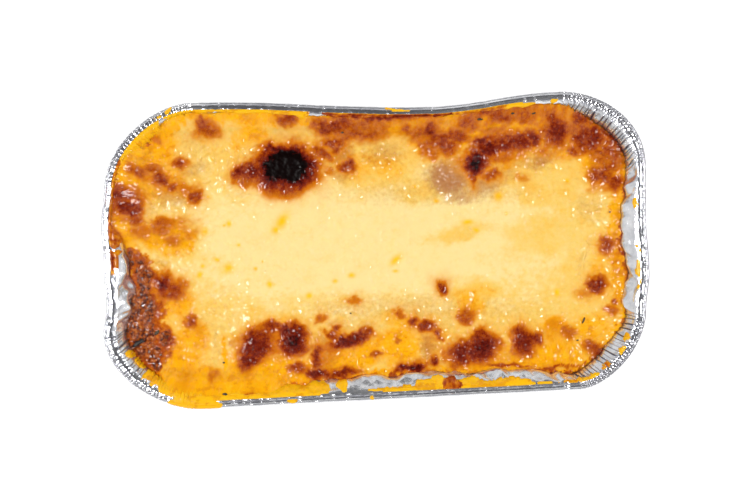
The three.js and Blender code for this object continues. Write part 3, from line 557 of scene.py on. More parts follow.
def lean(z):
    """How far the wall has leaned out at a height: straight lines between the LEAN table's points."""
    return float(np.interp(z, *zip(*LEAN)))


RIM, RIM_CORNER, RIM_SHARE = plan(CORNERS, SIDE_DENTS)
RIM_NORMAL = plan_normals(RIM)
WALL_TOP = RIM - RIM_NORMAL * RIM_WIDTH
BASE = plan([base_corner(corner) for corner in CORNERS], ())[0]
RIM_STEP = np.hypot(*(np.roll(RIM, -1, axis=0) - RIM).T)
RIM_LENGTH = float(RIM_STEP.sum())
ALONG_RIM = np.cumsum(RIM_STEP) - RIM_STEP


def around(pitch):
    """Each station's place along the rim in whole cells of about this pitch, and how many cells go
    round."""
    cells = round(RIM_LENGTH / pitch)
    return ALONG_RIM * cells / RIM_LENGTH, cells


def corner_folds(seed, low, high, depth):
    """The pleats at every station: each pleat is a wide panel and a narrow sharp fold, of random
    widths. Returned as a function of a shift along the corner, so that a fold may lean."""
    random = np.random.default_rng(seed)
    places, offsets = [], []
    for _ in range(4):
        widths = random.uniform(low, high, MOST_PLEATS)
        start = np.concatenate([[0.0], np.cumsum(widths)])[:-1]
        fold = random.uniform(0.45, 1.25, MOST_PLEATS) * depth
        places.append(np.stack([start, start + widths * 0.66, start + widths * 0.84], axis=-1).ravel())
        offsets.append(np.stack([-0.1 * fold, 0.2 * fold, -fold], axis=-1).ravel())
    fade = np.where(RIM_CORNER < 0, 0, ramp(0, 0.06, RIM_SHARE) * (1 - ramp(0.94, 1, RIM_SHARE)))

    def pleats(shift):
        out = np.zeros(len(RIM))
        for n in range(4):
            here = RIM_CORNER == n
            distance = ALONG_RIM[here] - ALONG_RIM[here][0] + shift[here]
            out[here] = np.interp(distance, places[n], offsets[n])
        return out * fade

    return pleats


def pressed(x, y):
    """How far the wall is pressed in along the front and the right and at the corner between them, by
    place: raised cosines along each side and a bell at the corner."""
    front = FRONT_PUSH * np.minimum(1.6 * hump(x - 24, 54.0, 56.0), 1.0) * (y < 0)
    right = RIGHT_PUSH * hump(y - 2, 36.0, 34.0) * ramp(70, 84, x)
    corner = CORNER_PUSH * np.exp(-(((x - 81) / 11) ** 2) - ((y + 35) / 11) ** 2)
    return np.maximum(np.maximum(front, right), corner)


def buckle(x, y, z):
    """The crease pushed into the left wall: flat flanks above and below it, a raised cosine along
    it."""
    below = (z - FILLING_TOP) / (BUCKLE_CREASE - FILLING_TOP)
    above = (TRAY_HEIGHT - z) / (TRAY_HEIGHT - BUCKLE_CREASE)
    flank = np.clip(np.minimum(below, above), 0, 1)
    along = hump(y - BUCKLE_Y, BUCKLE_HALF_LENGTH, BUCKLE_HALF_LENGTH)
    return np.where(x > 0, 0.0, BUCKLE_PUSH * flank * along)


# ---- Meshes --------------------------------------------------------------------------------------
def grid_quads(rows, columns, wrap=False):
    """The four corner numbers of every cell of a grid of points that is numbered row by row."""
    r = np.arange(rows - 1)[:, None]
    c = np.arange(columns if wrap else columns - 1)[None, :]
    a = r * columns + c
    b = r * columns + (c + 1) % columns
    return np.stack([a, b, b + columns, a + columns], axis=-1).reshape(-1, 4)


def grid_normals(grid):
    """Unit normals of a closed band of points: the step along a row crossed with the step across
    rows."""
    along = np.roll(grid, -1, axis=1) - np.roll(grid, 1, axis=1)
    across = np.gradient(grid, axis=0)
    normal = np.cross(along, across)
    return normal / np.maximum(np.linalg.norm(normal, axis=-1, keepdims=True), MICROSCOPIC)


def closed_rings(rings):
    """A closed skin through rings of points, with a fan to the middle of its first and last ring."""
    count = rings.shape[1]
    points = rings.reshape(-1, 3)
    low, high = len(points), len(points) + 1
    first = np.arange(count)
    last = first + (rings.shape[0] - 1) * count
    onward = np.roll(np.arange(count), -1)
    fans = np.concatenate(
        [
            np.stack([np.full(count, low), first[onward], first], axis=-1),
            np.stack([np.full(count, high), last, last[onward]], axis=-1),
        ]
    )
    middles = np.stack([rings[0].mean(axis=0), rings[-1].mean(axis=0)])
    return np.concatenate([points, middles]), [grid_quads(rings.shape[0], count, wrap=True), fans]


def closed_relief(top, lower):
    """A closed solid: a grid of points on top, rings of points below its border, and a fan under the
    last."""
    long, wide = top.shape[0] - 1, top.shape[1] - 1
    number = np.arange((long + 1) * (wide + 1)).reshape(long + 1, wide + 1)
    border = border_of(number)
    count = len(border)
    blocks = [top.reshape(-1, 3)]
    cells = [number[:-1, :-1], number[1:, :-1], number[1:, 1:], number[:-1, 1:]]
    quads = [np.stack(cells, axis=-1).reshape(-1, 4)]
    above = border
    for ring in lower:
        below = np.arange(count) + sum(len(block) for block in blocks)
        quads.append(np.stack([above, below, np.roll(below, -1), np.roll(above, -1)], axis=-1))
        blocks.append(ring)
        above = below
    middle = sum(len(block) for block in blocks)
    blocks.append(lower[-1].mean(axis=0)[None])
    fan = np.stack([np.full(count, middle), np.roll(above, -1), above], axis=-1)
    return np.concatenate(blocks), [np.concatenate(quads), fan]


def border_of(grid):
    """A grid's border entries, anticlockwise from its front right corner."""
    return np.concatenate([grid[-1, :-1], grid[:0:-1, -1], grid[0, :0:-1], grid[:-1, 0]])


def masked_shell(outer, inner, keep):
    """A closed thin shell over the kept cells of two like bands: both faces, and a wall at every open
    edge. Also returns which of the bands' points it uses."""
    rows, columns = outer.shape[:2]
    count = rows * columns
    quads = grid_quads(rows, columns, wrap=True)[keep.ravel()]
    starts, ends = quads.ravel(), np.roll(quads, -1, axis=1).ravel()
    open_edge = ~np.isin(starts * count + ends, ends * count + starts)
    a, b = starts[open_edge], ends[open_edge]
    walls = np.stack([a, a + count, b + count, b], axis=-1)
    faces = np.concatenate([quads, quads[:, ::-1] + count, walls])
    used, faces = np.unique(faces, return_inverse=True)
    points = np.concatenate([outer.reshape(-1, 3), inner.reshape(-1, 3)])[used]
    return points, [faces.reshape(-1, 4)], used % count


def add_piece(name, points, faces, material, replaced=(), marks=None):
    """A mesh object in metres, smooth shaded, with its float marks, its material and its place in the
    frame."""
    mesh = bpy.data.meshes.new(name)
    corners = np.concatenate([block.ravel() for block in faces])
    sizes = np.concatenate([np.full(len(block), block.shape[1]) for block in faces])
    mesh.vertices.add(len(points))
    mesh.vertices.foreach_set("co", (np.asarray(points) * MM).astype(np.float32).ravel())
    mesh.loops.add(len(corners))
    mesh.loops.foreach_set("vertex_index", corners.astype(np.int32))
    mesh.polygons.add(len(sizes))
    mesh.polygons.foreach_set("loop_start", (np.cumsum(sizes) - sizes).astype(np.int32))
    mesh.update(calc_edges=True)
    mesh.polygons.foreach_set("use_smooth", np.ones(len(sizes), dtype=bool))
    for mark, values in (marks or {}).items():
        layer = mesh.attributes.new(mark, "FLOAT", "POINT")
        layer.data.foreach_set("value", np.asarray(values, dtype=np.float32))
    if mesh.validate():
        raise RuntimeError(f"{name} has faces that are not valid")
    piece = bpy.data.objects.new(name, mesh)
    bpy.context.scene.collection.objects.link(piece)
    mesh.materials.append(material)
    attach(piece, "root")
    if replaced:
        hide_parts(*replaced)
    return piece


# ---- The foil tray -------------------------------------------------------------------------------
def tray_surface():
    """The foil's surface: wall(z, inset) and rim(drop, inset), each a ring of points, how creased the
    pleats are at a height, creases(z), and how crimped the rim is at each station.

    The wall leans out from base to rim by the LEAN table. The pleats, the crumples, the pushes and
    the buckle move it along its plan normal, and all of them fade towards the floor."""
    sizes = bpy.context.scene.lasagne_tray
    pleats = corner_folds(11, 1.2, 2.5, sizes.pleat_depth / MM)
    crimp = corner_folds(12, 0.9, 2.0, sizes.crimp_depth / MM)(np.zeros(len(RIM)))
    coarse, coarse_cells = around(7.0)
    middle, middle_cells = around(3.4)
    fine, fine_cells = around(1.5)
    slow, slow_cells = around(26.0)
    kinks = sum(
        amount * np.exp(-((np.hypot(RIM[:, 0] - x, RIM[:, 1] - y) / 0.8) ** 2))
        for x, y, amount in RIM_KINKS
    )
    on_side = RIM_CORNER < 0
    crumpled = sizes.crumple / MM

    def fold_lean(z):
        return 1.1 * soft_noise(middle, np.full_like(middle, z / 9.0), 21, middle_cells)

    def wall(z, inset):
        share = (lean(z - 0.7) + lean(z) + lean(z + 0.7)) / 3 if z > 36 else lean(z)
        line = BASE + (WALL_TOP - BASE) * share
        normal = plan_normals(line)
        warp = 0.35 * soft_noise(coarse, np.full_like(coarse, z / 6.0), 22, coarse_cells)
        height = np.full_like(coarse, z)
        rough = crumple(coarse + warp, height / 5.5, 23, coarse_cells)
        rough = rough + 0.9 * crumple(middle + warp, height / 2.7, 24, middle_cells)
        rough = rough + 0.22 * crumple(fine, height / 1.4, 25, fine_cells)
        left_buckle = buckle(line[:, 0], line[:, 1], z)
        loose = np.where(on_side, 1.0, 0.35) + 0.9 * np.abs(left_buckle) / abs(BUCKLE_PUSH)
        fade = ramp(2, 36, z) * (0.35 + 0.65 * (1 - ramp(42.5, TRAY_HEIGHT, z)))
        push = pressed(line[:, 0], line[:, 1]) * hump(np.array(z - PUSH_LEVEL), PUSH_BELOW, PUSH_ABOVE)
        out = left_buckle - push
        out = out + pleats(fold_lean(z)) * share**1.5 + rough * loose * crumpled * fade
        out = out - kinks * share**3 - inset
        return np.column_stack([line + normal * out[:, None], height])

    def creases(z):
        return ramp(0.15, 0.6, -pleats(fold_lean(z)) * MM / sizes.pleat_depth) * ramp(34, 38, z)

    def rim(drop, inset):
        wave = 0.12 * soft_noise(slow, np.zeros_like(slow), 26, slow_cells) - 0.06
        wave = wave + 0.1 * crumple(fine, np.full_like(fine, inset / 1.6), 27, fine_cells)
        wave = wave + 0.6 * crimp * (0.4 + 0.6 * ramp(0.4, 2.4, inset))
        uneven = crumple(middle, np.zeros_like(middle), 28, middle_cells)
        move = 0.4 * crimp - 0.5 * kinks + 0.05 * uneven
        place = RIM + RIM_NORMAL * (move - inset)[:, None]
        return np.column_stack([place, TRAY_HEIGHT - drop + wave - 0.35 * kinks])

    crimped = ramp(0.2, 0.7, -crimp * MM / sizes.crimp_depth)
    return wall, rim, creases, crimped


def roll_section():
    """The rolled edge: an upright ellipse round ROLL_CENTRE, from its underside out and over its
    top."""
    drop, inset = ROLL_CENTRE
    angles = np.radians(ROLL_ANGLES)
    return [(drop - drop * math.sin(a), inset - inset * math.cos(a)) for a in angles]


def foil_rings():
    """Every ring of the tray from the middle of its underside, up the outside, over the rim and down
    inside, and how much painted shade darkens the foil along each: painted shade on the outside,
    painted reflection of a dark surround on the rim's back, sides and rolled edge, and painted shade in
    the rim's crimps, its groove and the creases of the pleats inside."""
    foil = bpy.context.scene.lasagne_tray.foil / MM
    wall, rim, creases, crimped = tray_surface()
    edge = wall(0.0, FLOOR_FILLET)
    underside = [edge * np.array([k, k, 1]) for k in UNDERSIDE_SHARES]
    fillet = FLOOR_FILLET * (1 - np.array([np.cos(FILLET_ANGLES), np.sin(FILLET_ANGLES)]).T)
    outside = [wall(z, inset) for z, inset in (*fillet, *((z, 0.0) for z in OUTSIDE_HEIGHTS))]
    over = [rim(drop, inset) for drop, inset in (UNDER_FLANGE, *roll_section(), *FLANGE_SECTION)]
    inside = [wall(z, foil) for z in (*INSIDE_HEIGHTS, 28, 16, FLOOR_FILLET + foil)]
    floor = wall(foil, FLOOR_FILLET) * np.array([1, 1, 0]) + np.array([0, 0, foil])
    rings = np.stack([*underside, *outside, *over, *inside, floor, floor * np.array([0.5, 0.5, 1])])
    painted_shade = np.zeros(rings.shape[:2])
    first = len(underside) + len(outside)
    last = first + len(over)
    at_right = ramp(-0.1, 0.5, RIM_NORMAL[:, 0])
    at_left = ramp(0.3, 0.9, -RIM_NORMAL[:, 0])
    at_front = ramp(0.6, 0.9, -RIM_NORMAL[:, 1])
    at_back = ramp(0.8, 0.97, RIM_NORMAL[:, 1])
    at_back = at_back * (1 - ramp(14, 26, RIM[:, 0])) * ramp(-64, -54, RIM[:, 0])
    painted_shade[len(underside):first] = OUTSIDE_PAINTED_SHADE
    on_rim = painted_shade[first:last]
    # Painted reflection of a dark surround on the back, left and right of the rim, painted shade in its
    # crimps, and a painted shade line on the rolled edge and in the groove.
    on_rim[:] = 0.38 * at_back + 0.45 * at_left + 0.35 * at_right + 0.6 * crimped
    on_rim[EDGE_RINGS] = (0.3 + 0.7 * at_right - 0.25 * at_front) * np.array(EDGE_PAINTED_SHADE)[:, None]
    on_rim[GROOVE_RING] = GROOVE_PAINTED_SHADE
    # Painted shade in the creases of the pleats inside, and a little more on the right.
    for n, z in enumerate(INSIDE_HEIGHTS):
        painted_shade[last + n] = 0.9 * creases(z) + 0.12 * at_right
    return rings, painted_shade


def smear_cover(x, y, on_rim):
    """How thickly cheese covers the foil at a place, in millimetres, and how browned it is there.

    Each smear is its thickness times 1 - reach^2, and the thickest counts. Noise frays the edges, and
    bare places are taken off. The wall's smears stop at the rim, and the rim has its own."""
    warp_x = x + 0.8 * layered_noise(x / 2.6, y / 2.6, 2, 31)
    warp_y = y + 0.5 * layered_noise(x / 2.6, y / 2.6, 2, 34)
    cover = np.full(np.shape(x), -1.0)
    browned = np.zeros(np.shape(x))
    for smears, off in ((WALL_SMEARS, 1.5 * on_rim), (RIM_SMEARS, 0.0)):
        for *oval, thick, brown in smears:
            reach = oval_reach(warp_x, warp_y, *oval)
            level = thick * np.minimum(3 * (1 - reach**2), 1) - off
            browned = np.where(level > cover, brown, browned)
            cover = np.maximum(cover, level)
    for bare in BARE_FOIL:
        cover = cover - 1.2 * np.exp(-(oval_reach(warp_x, warp_y, *bare) ** 4))
    frayed = layered_noise(x / 1.1, y / 1.1, 3, 37)
    return cover + 0.06 * frayed, browned * (1 + 0.5 * frayed)


# ---- The cheese ----------------------------------------------------------------------------------
def quartered_outline(points, ring=None):
    """A closed plan as a curve of its own length: a function of q from 0 to 4, whole at each corner's
    middle. It returns the place and the outward normal, joined by straight lines between the plan's
    points. With a ring of as many points, the place is on that ring instead, beside the plan's."""
    stride = np.cumsum([0, *(CORNER_STATIONS + n for n in SIDE_STATIONS)])
    middles = stride + CORNER_STATIONS // 2
    closed = np.concatenate([points, points])
    followed = closed if ring is None else np.concatenate([ring, ring])
    step = np.hypot(*(closed[1:] - closed[:-1]).T)
    length = np.concatenate([[0.0], np.cumsum(step)])
    knots = length[middles]

    def outline(q):
        along = np.interp(q, np.arange(5), knots)
        place = np.stack([np.interp(along, length, followed[:, k]) for k in (0, 1)], axis=-1)
        ahead = np.stack([np.interp(along + 0.2, length, closed[:, k]) for k in (0, 1)], axis=-1)
        behind = np.stack([np.interp(along - 0.2, length, closed[:, k]) for k in (0, 1)], axis=-1)
        run = ahead - behind
        normal = np.stack([run[..., 1], -run[..., 0]], axis=-1)
        return place, normal / np.linalg.norm(normal, axis=-1, keepdims=True)

    return outline


def grid_places(outline, long, wide):
    """A rectangular grid pulled onto a rounded outline: nested rings, each the outline times m, the
    larger of |u| and |v|. Returns the points and how far each lies inside the border."""
    u, v = np.meshgrid(np.linspace(-1, 1, long + 1), np.linspace(-1, 1, wide + 1), indexing="ij")
    m = np.maximum(np.abs(u), np.abs(v))
    safe = np.maximum(m, MICROSCOPIC)
    a, b = u / safe, v / safe
    near_one = 1 - 1e-7
    q = np.where(
        (a >= near_one) & (b < near_one),
        (b + 1) / 2,
        np.where(
            (b >= near_one) & (a > -near_one),
            1 + (1 - a) / 2,
            np.where((a <= -near_one) & (b > -near_one), 2 + (1 - b) / 2, 3 + (a + 1) / 2),
        ),
    )
    place, normal = outline(np.mod(q, 4))
    inside = (1 - m) * (place * normal).sum(axis=-1)
    return place * m[..., None], inside


def border_lift(x, y):
    """How far the cheese's border stands above its general level: it clings high up the foil at the
    left, the back and the front left, and less high at the right and the front."""
    left = (1 - ramp(-84, -74, x)) * ramp(0, 8, y)
    right = ramp(60, 86, x)
    back = ramp(34, 44, y) * (1 - right)
    at_front = 1 - ramp(-46, -36, y)
    front_left = at_front * ramp(-80, -68, x) * (1 - ramp(-38, -24, x))
    high = CHEESE_CLIMB * np.maximum(np.maximum(left, back), front_left)
    low = np.maximum(RIGHT_CLIMB * right, FRONT_CLIMB * at_front * ramp(-34, -20, x))
    return np.maximum(high, low)


def edge_shrink(x, y):
    """How far the cheese has drawn back from its usual inset, so that it meets the foil where that is
    pressed in."""
    return pressed(x, y) - FOOD_INSET + 0.12


def oval_sum(x, y, ovals, power):
    """The highest of many ovals: each its strength times e to the minus reach^power."""
    total = np.zeros(np.shape(x))
    for *oval, strength in ovals:
        total = np.maximum(total, strength * np.exp(-(oval_reach(x, y, *oval) ** power)))
    return total


def baked_marks(x, y, inside):
    """The surface's marks at each place: browned, yellow, tan, pink, pits, sauce and wet, from ovals
    in warped coordinates. Each browned spot has a fainter halo. Within a few millimetres of its
    border the cheese is yellow, and it is browned round the open sauce and in places along its last
    millimetre."""
    warp_x = x + layered_noise(x / 4.6, y / 4.6, 3, 41)
    warp_y = y + layered_noise(x / 4.6, y / 4.6, 3, 46)
    frayed = layered_noise(x / 1.3, y / 1.3, 3, 51)
    cores, halos = [], []
    for spot_x, spot_y, a, b, turn, strength, _ in BROWN_SPOTS:
        wider = 2.5 - 1.1 * min(strength, 1.0)
        cores.append((spot_x, spot_y, 1.12 * a, 1.12 * b, turn, strength))
        halos.append((spot_x, spot_y, a + wider, b + wider, turn, 0.44 * strength))
    grounds = oval_sum(warp_x, warp_y, BROWN_GROUNDS, 2.2)
    grounds = grounds * (1 + 0.4 * layered_noise(x / 3.4, y / 2.6, 3, 56))
    haloed = (oval_sum(warp_x, warp_y, halos, 1.7) ** 3 + np.maximum(grounds, 0) ** 3) ** (1 / 3)
    rough_x, rough_y = warp_x + 0.35 * frayed, warp_y - 0.35 * frayed
    browned = (oval_sum(rough_x, rough_y, cores, 2.8) ** 3 + haloed**3) ** (1 / 3)
    edge = inside + 1.4 * frayed
    streaky = 0.5 + 0.5 * soft_noise(x / 7, y / 7, 54)
    low = 1 - ramp(3.0, 5.0, border_lift(x, y))
    browned = np.maximum(browned, 0.46 * streaky * low * (1 - ramp(0.1, 1.3, edge)))
    browned = browned * (1 + 0.1 * frayed)
    yellow = oval_sum(warp_x + 0.8 * frayed, warp_y, YELLOW_PATCHES, 3.2)
    paler = oval_reach(warp_x, warp_y, *PALE_MIDDLE)
    yellow = np.maximum(yellow, 0.4 * ramp(0.5, 1.1, paler + 0.12 * frayed))
    yellow = yellow + 0.07 * layered_noise(x / 6, y / 3.4, 3, 58)
    yellow = np.maximum(yellow, 0.95 * (1 - ramp(1.2, 6.5, edge + 1.5 * streaky)))
    # Tan and pink also carry the two bands of painted shade across the cream.
    tan = oval_sum(warp_x, warp_y, [patch[:6] for patch in TAN_PATCHES], 2.8)
    pink = oval_sum(warp_x, warp_y, [(*patch[:5], patch[5] * patch[6]) for patch in TAN_PATCHES], 2.8)
    slight = 0.3 * (x - warp_x)
    pits = oval_sum(x - slight, y + slight, [(*pit, 1.0) for pit in OIL_PITS], 2.4)
    wet = oval_sum(warp_x, warp_y, GLISTENING, 2.4)
    level = sauce_level(x, y)
    browned = np.maximum(browned, 0.34 * ramp(-0.9, -0.05, level + 0.2 * frayed))
    sauce = ramp(-0.12, 0.3, level + 0.12 * frayed)
    return dict(browned=browned, yellow=yellow, tan=tan, pink=pink, pits=pits, sauce=sauce, wet=wet)


def mince_height(x, y):
    """Grains of mince: each a dome, its height times the root of 1 - reach^2, and the tallest
    counts."""
    random = np.random.default_rng(101)
    middle_x, middle_y, half_x, half_y = MINCE_FIELD
    grains = random.uniform(-1, 1, (MINCE_COUNT, 2))
    half = random.uniform(0.7, 1.8, MINCE_COUNT)
    slim = random.uniform(0.45, 1.0, MINCE_COUNT)
    turn = random.uniform(0, 180, MINCE_COUNT)
    height = np.zeros(np.shape(x))
    here = (np.abs(x - middle_x) < half_x + 2) & (np.abs(y - middle_y) < half_y + 2)
    x, y = x[here], y[here]
    tallest = np.zeros(len(x))
    for (gx, gy), a, k, angle in zip(grains, half, slim, turn):
        reach = oval_reach(x, y, middle_x + gx * half_x, middle_y + gy * half_y, a, a * k, angle)
        tallest = np.maximum(tallest, 0.42 * a * k * np.sqrt(np.maximum(1 - reach**2, 0)))
    height[here] = tallest
    return height


def wrinkle_height(x, y):
    """Thin standing edges: a narrow bell across each bowed line, fading towards its ends."""
    total = np.zeros(np.shape(x))
    for x0, y0, x1, y1, bow, height in WRINKLES:
        run = np.array([x1 - x0, y1 - y0])
        length = float(np.hypot(*run))
        run /= length
        along = ((x - x0) * run[0] + (y - y0) * run[1]) / length
        across = (y - y0) * run[0] - (x - x0) * run[1] - 4 * bow * along * (1 - along)
        ends = ramp(-0.05, 0.25, along) * (1 - ramp(0.75, 1.05, along))
        total = np.maximum(total, height * ends * np.exp(-((across / WRINKLE_WIDTH) ** 2)))
    return total


def sauce_level(x, y):
    """Where the meat sauce lies open: above 0 inside the ovals, with an edge frayed by noise."""
    warp = 1.1 * layered_noise(x / 2.8, y / 2.8, 3, 61)
    level = np.full(np.shape(x), -4.0)
    for oval in SAUCE_OVALS:
        level = np.maximum(level, 1 - oval_reach(x + warp, y - warp, *oval))
    return level


def cheese_height(x, y, inside, marks):
    """The baked surface: a dome with slow waves and blisters, a border that clings or sags, and finer
    relief that is rougher where it has browned. Where the meat sauce lies open it is a bed of mince
    grains."""
    relief = bpy.context.scene.lasagne_cheese.relief
    dome = DOME_RISE * (1 - (y / 50) ** 2) * (1 - 0.5 * (x / 92) ** 2)
    waves = 0.22 * np.sin(x / 11 + 0.6) * np.cos(y / 9) + 0.18 * np.sin((x + 2 * y) / 14)
    blisters = sum(rise * np.exp(-(oval_reach(x, y, *oval) ** 2.6)) for *oval, rise in BLISTERS)
    risen = oval_sum(x, y, [(*spot[:5], spot[6]) for spot in BROWN_SPOTS], 2.0)
    share = np.clip(1 - inside / EDGE_ROUNDING, 0, 1)
    lift = border_lift(x, y)
    bend = np.clip(1 - inside / CLIMB_REACH, 0, 1) ** 1.8
    height = np.minimum(CHEESE_LEVEL + dome + waves + blisters, CHEESE_CEILING)
    height = height + lift * bend - EDGE_DIP * share**4

    busy = np.clip(0.25 + 0.9 * marks["yellow"] + 1.2 * marks["browned"] + 0.8 * marks["tan"], 0, 1.3)
    busy = busy * (1 - 0.9 * ramp(0.8, 1.0, marks["browned"]))
    u, v = 0.82 * x + 0.57 * y, 0.82 * y - 0.57 * x
    lumps = 0.28 * soft_noise(u / 4.8, v / 4.8, 71) + 0.15 * soft_noise(u / 1.4, v / 1.4, 74)
    folds = 0.13 * (1 - 2 * np.abs(soft_noise(v / 1.6, u / 2.0, 77))) + 0.14 * soft_noise(v, u, 79)
    pimples = 0.3 * np.maximum(soft_noise(u / 1.1, v / 1.1, 81) - 0.36, 0)
    fine = (lumps + folds) * busy + pimples + risen * 0.5 + wrinkle_height(x, y) - 0.25 * marks["pits"]
    fine = fine + 0.55 * marks["wet"] * soft_noise(v / 1.2, u / 1.2, 83)
    fine = fine + marks["sauce"] * (mince_height(x, y) - 0.6)
    onion_x, onion_y, turn = ONION[0], ONION[1], math.radians(ONION[4])
    across = (y - onion_y) * math.cos(turn) - (x - onion_x) * math.sin(turn)
    ribs = np.sin(2 * math.pi * across / ONION_RIB_SPACING)
    onion = np.exp(-(oval_reach(x, y, *ONION) ** 6))
    fine = fine + ONION_RIB_HEIGHT * ribs * onion
    return height + relief * fine * (1 - 0.5 * ramp(0.8, 1, share))


def food_outline(z, shrink=0.0):
    """The food's plan at a height, just inside the foil, drawn back by the edge's shrinkage."""
    line = BASE + (WALL_TOP - BASE) * lean(z)
    normal = plan_normals(line)
    out = buckle(line[:, 0], line[:, 1], z) - FOOD_INSET
    line = line + normal * out[:, None]
    return line - plan_normals(line) * (shrink * edge_shrink(line[:, 0], line[:, 1]))[:, None]


def at_height(plans, z):
    """Places moved with the sloping wall: each at its own height between the plans at the
    CHEESE_LEVELS."""
    place = plans[0]
    for below, above, upper in zip(CHEESE_LEVELS, CHEESE_LEVELS[1:], plans[1:]):
        share = np.clip((z - below) / (above - below), 0, 1)[..., None]
        place = place * (1 - share) + upper * share
    return place


def cheese_mesh():
    """The cheese's points, faces and marks: a grid in plan, drawn onto the crumpled foil near its
    border and moved with the sloping wall to its own height, then a skirt down along the foil and a
    flat underside."""
    wall = tray_surface()[0]
    foil = bpy.context.scene.lasagne_tray.foil / MM
    plans = []
    for level in CHEESE_LEVELS:
        plan_line = food_outline(level, 1.0)
        free, inside = grid_places(quartered_outline(plan_line), *CHEESE_CELLS)
        on_foil = wall(level, foil + FOIL_GAP)[:, :2]
        held = grid_places(quartered_outline(plan_line, on_foil), *CHEESE_CELLS)[0]
        plans.append(free + (held - free) * np.clip(1 - inside / FOIL_HOLD, 0, 1)[..., None] ** 2)
    x, y = np.moveaxis(plans[MARKED_LEVEL], -1, 0)
    marks = baked_marks(x, y, inside)
    z = cheese_height(x, y, inside, marks)
    top = np.concatenate([at_height(plans, z), z[..., None]], axis=-1)
    border = [border_of(places) for places in plans]
    edge_height = border_of(z)
    skirt = []
    for share in SKIRT_SHARES:
        height = edge_height + (CHEESE_LEVELS[0] - edge_height) * share
        skirt.append(np.column_stack([SKIRT_SCALE * at_height(border, height), height]))
    points, faces = closed_relief(top, skirt)
    spare = np.zeros(len(points) - z.size)
    flat_marks = {name: np.concatenate([values.ravel(), spare]) for name, values in marks.items()}
    flat_marks["yellow"][z.size:] = 0.3
    return points, faces, flat_marks


# ---- Shader helpers ------------------------------------------------------------------------------
class Nodes:
    """A node tree with short calls: add a node with its settings, join sockets, and place values."""

    def __init__(self, tree):
        self.tree = tree

    def add(self, kind, inputs=None, **settings):
        node = self.tree.nodes.new(kind)
        for name, value in settings.items():
            setattr(node, name, value)
        for key, value in (inputs or {}).items():
            self.feed(value, node.inputs[key])
        return node

    def feed(self, value, socket):
        if isinstance(value, bpy.types.NodeSocket):
            self.tree.links.new(value, socket)
        else:
            socket.default_value = value

    def math(self, operation, first, *others):
        """One operation over any number of values, from left to right."""
        total = first
        for other in others:
            total = self.add("ShaderNodeMath", {0: total, 1: other}, operation=operation).outputs[0]
        return total

    def sum(self, *values):
        return self.math("ADD", *values)

    def product(self, *values):
        return self.math("MULTIPLY", *values)

    def mix(self, share, a, b):
        return self.add("ShaderNodeMix", {0: share, 6: a, 7: b}, data_type="RGBA").outputs[2]

    def mark(self, name):
        return self.add("ShaderNodeAttribute", attribute_name=name).outputs["Fac"]

    def step(self, value, low, high):
        """The same curve as ramp(), but falling where low is above high."""
        inputs = {"Value": value, "From Min": low, "From Max": high}
        node = self.add("ShaderNodeMapRange", inputs, interpolation_type="SMOOTHSTEP")
        return node.outputs["Result"]

    def noise(self, place, scale, detail, roughness):
        inputs = {"Vector": place, "Scale": scale, "Detail": detail, "Roughness": roughness}
        return self.add("ShaderNodeTexNoise", inputs).outputs["Fac"]

    def place(self):
        return self.add("ShaderNodeTexCoord").outputs["Object"]

    def food_grain(self, place):
        return self.add("ShaderNodeGroup", {"Vector": place}, node_tree=food_grain_group()).outputs

    def finish(self, shader, colour, height, strength, distance):
        """The shader's colour, and a bump on its normal."""
        inputs = {"Strength": strength, "Distance": distance, "Height": height}
        bump = self.add("ShaderNodeBump", inputs)
        self.feed(colour, shader.inputs["Base Color"])
        self.feed(bump.outputs[0], shader.inputs["Normal"])


def rgba(colour):
    return (*colour, 1.0)


def food_grain_group():
    """Shader group of grain in a piece's own coordinates: clouds, coarse and fine specks, lumps for
    bump."""
    group = bpy.data.node_groups.get("Food grain")
    if group:
        return group
    group = bpy.data.node_groups.new("Food grain", "ShaderNodeTree")
    face = group.interface
    face.new_socket("Vector", in_out="INPUT", socket_type="NodeSocketVector")
    for name, default in GRAIN_SCALES:
        face.new_socket(name, in_out="INPUT", socket_type="NodeSocketFloat").default_value = default
    for name in ("Clouds", "Mottle", "Fleck", "Height"):
        face.new_socket(name, in_out="OUTPUT", socket_type="NodeSocketFloat")
    nodes = Nodes(group)
    given = nodes.add("NodeGroupInput").outputs
    clouds = nodes.noise(given["Vector"], given["Cloud Scale"], 4.0, 0.6)
    coarse = nodes.noise(given["Vector"], given["Coarse Scale"], 2.0, 0.5)
    fine = nodes.noise(given["Vector"], given["Fine Scale"], 2.0, 0.6)
    height = nodes.noise(given["Vector"], given["Lump Scale"], 1.0, 0.35)
    nodes.add("NodeGroupOutput", {"Clouds": clouds, "Mottle": coarse, "Fleck": fine, "Height": height})
    return group


def new_material(name, constants):
    """A node material whose Principled shader has these constants: returns it, its nodes and the
    shader."""
    material = bpy.data.materials.new(name)
    material.use_nodes = True
    material.node_tree.nodes.clear()
    nodes = Nodes(material.node_tree)
    shader = nodes.add("ShaderNodeBsdfPrincipled", constants)
    nodes.add("ShaderNodeOutputMaterial", {"Surface": shader.outputs[0]})
    return material, nodes, shader


def colour_stops(nodes, value, stops):
    """The colour that a value has between these stops, each a position and a colour."""
    node = nodes.add("ShaderNodeValToRGB", {"Fac": value})
    elements = node.color_ramp.elements
    while len(elements) < len(stops):
        elements.new(0.5)
    for element, (position, stop_colour) in zip(elements, stops):
        element.position = position
        element.color = rgba(stop_colour)
    return node.outputs["Color"]


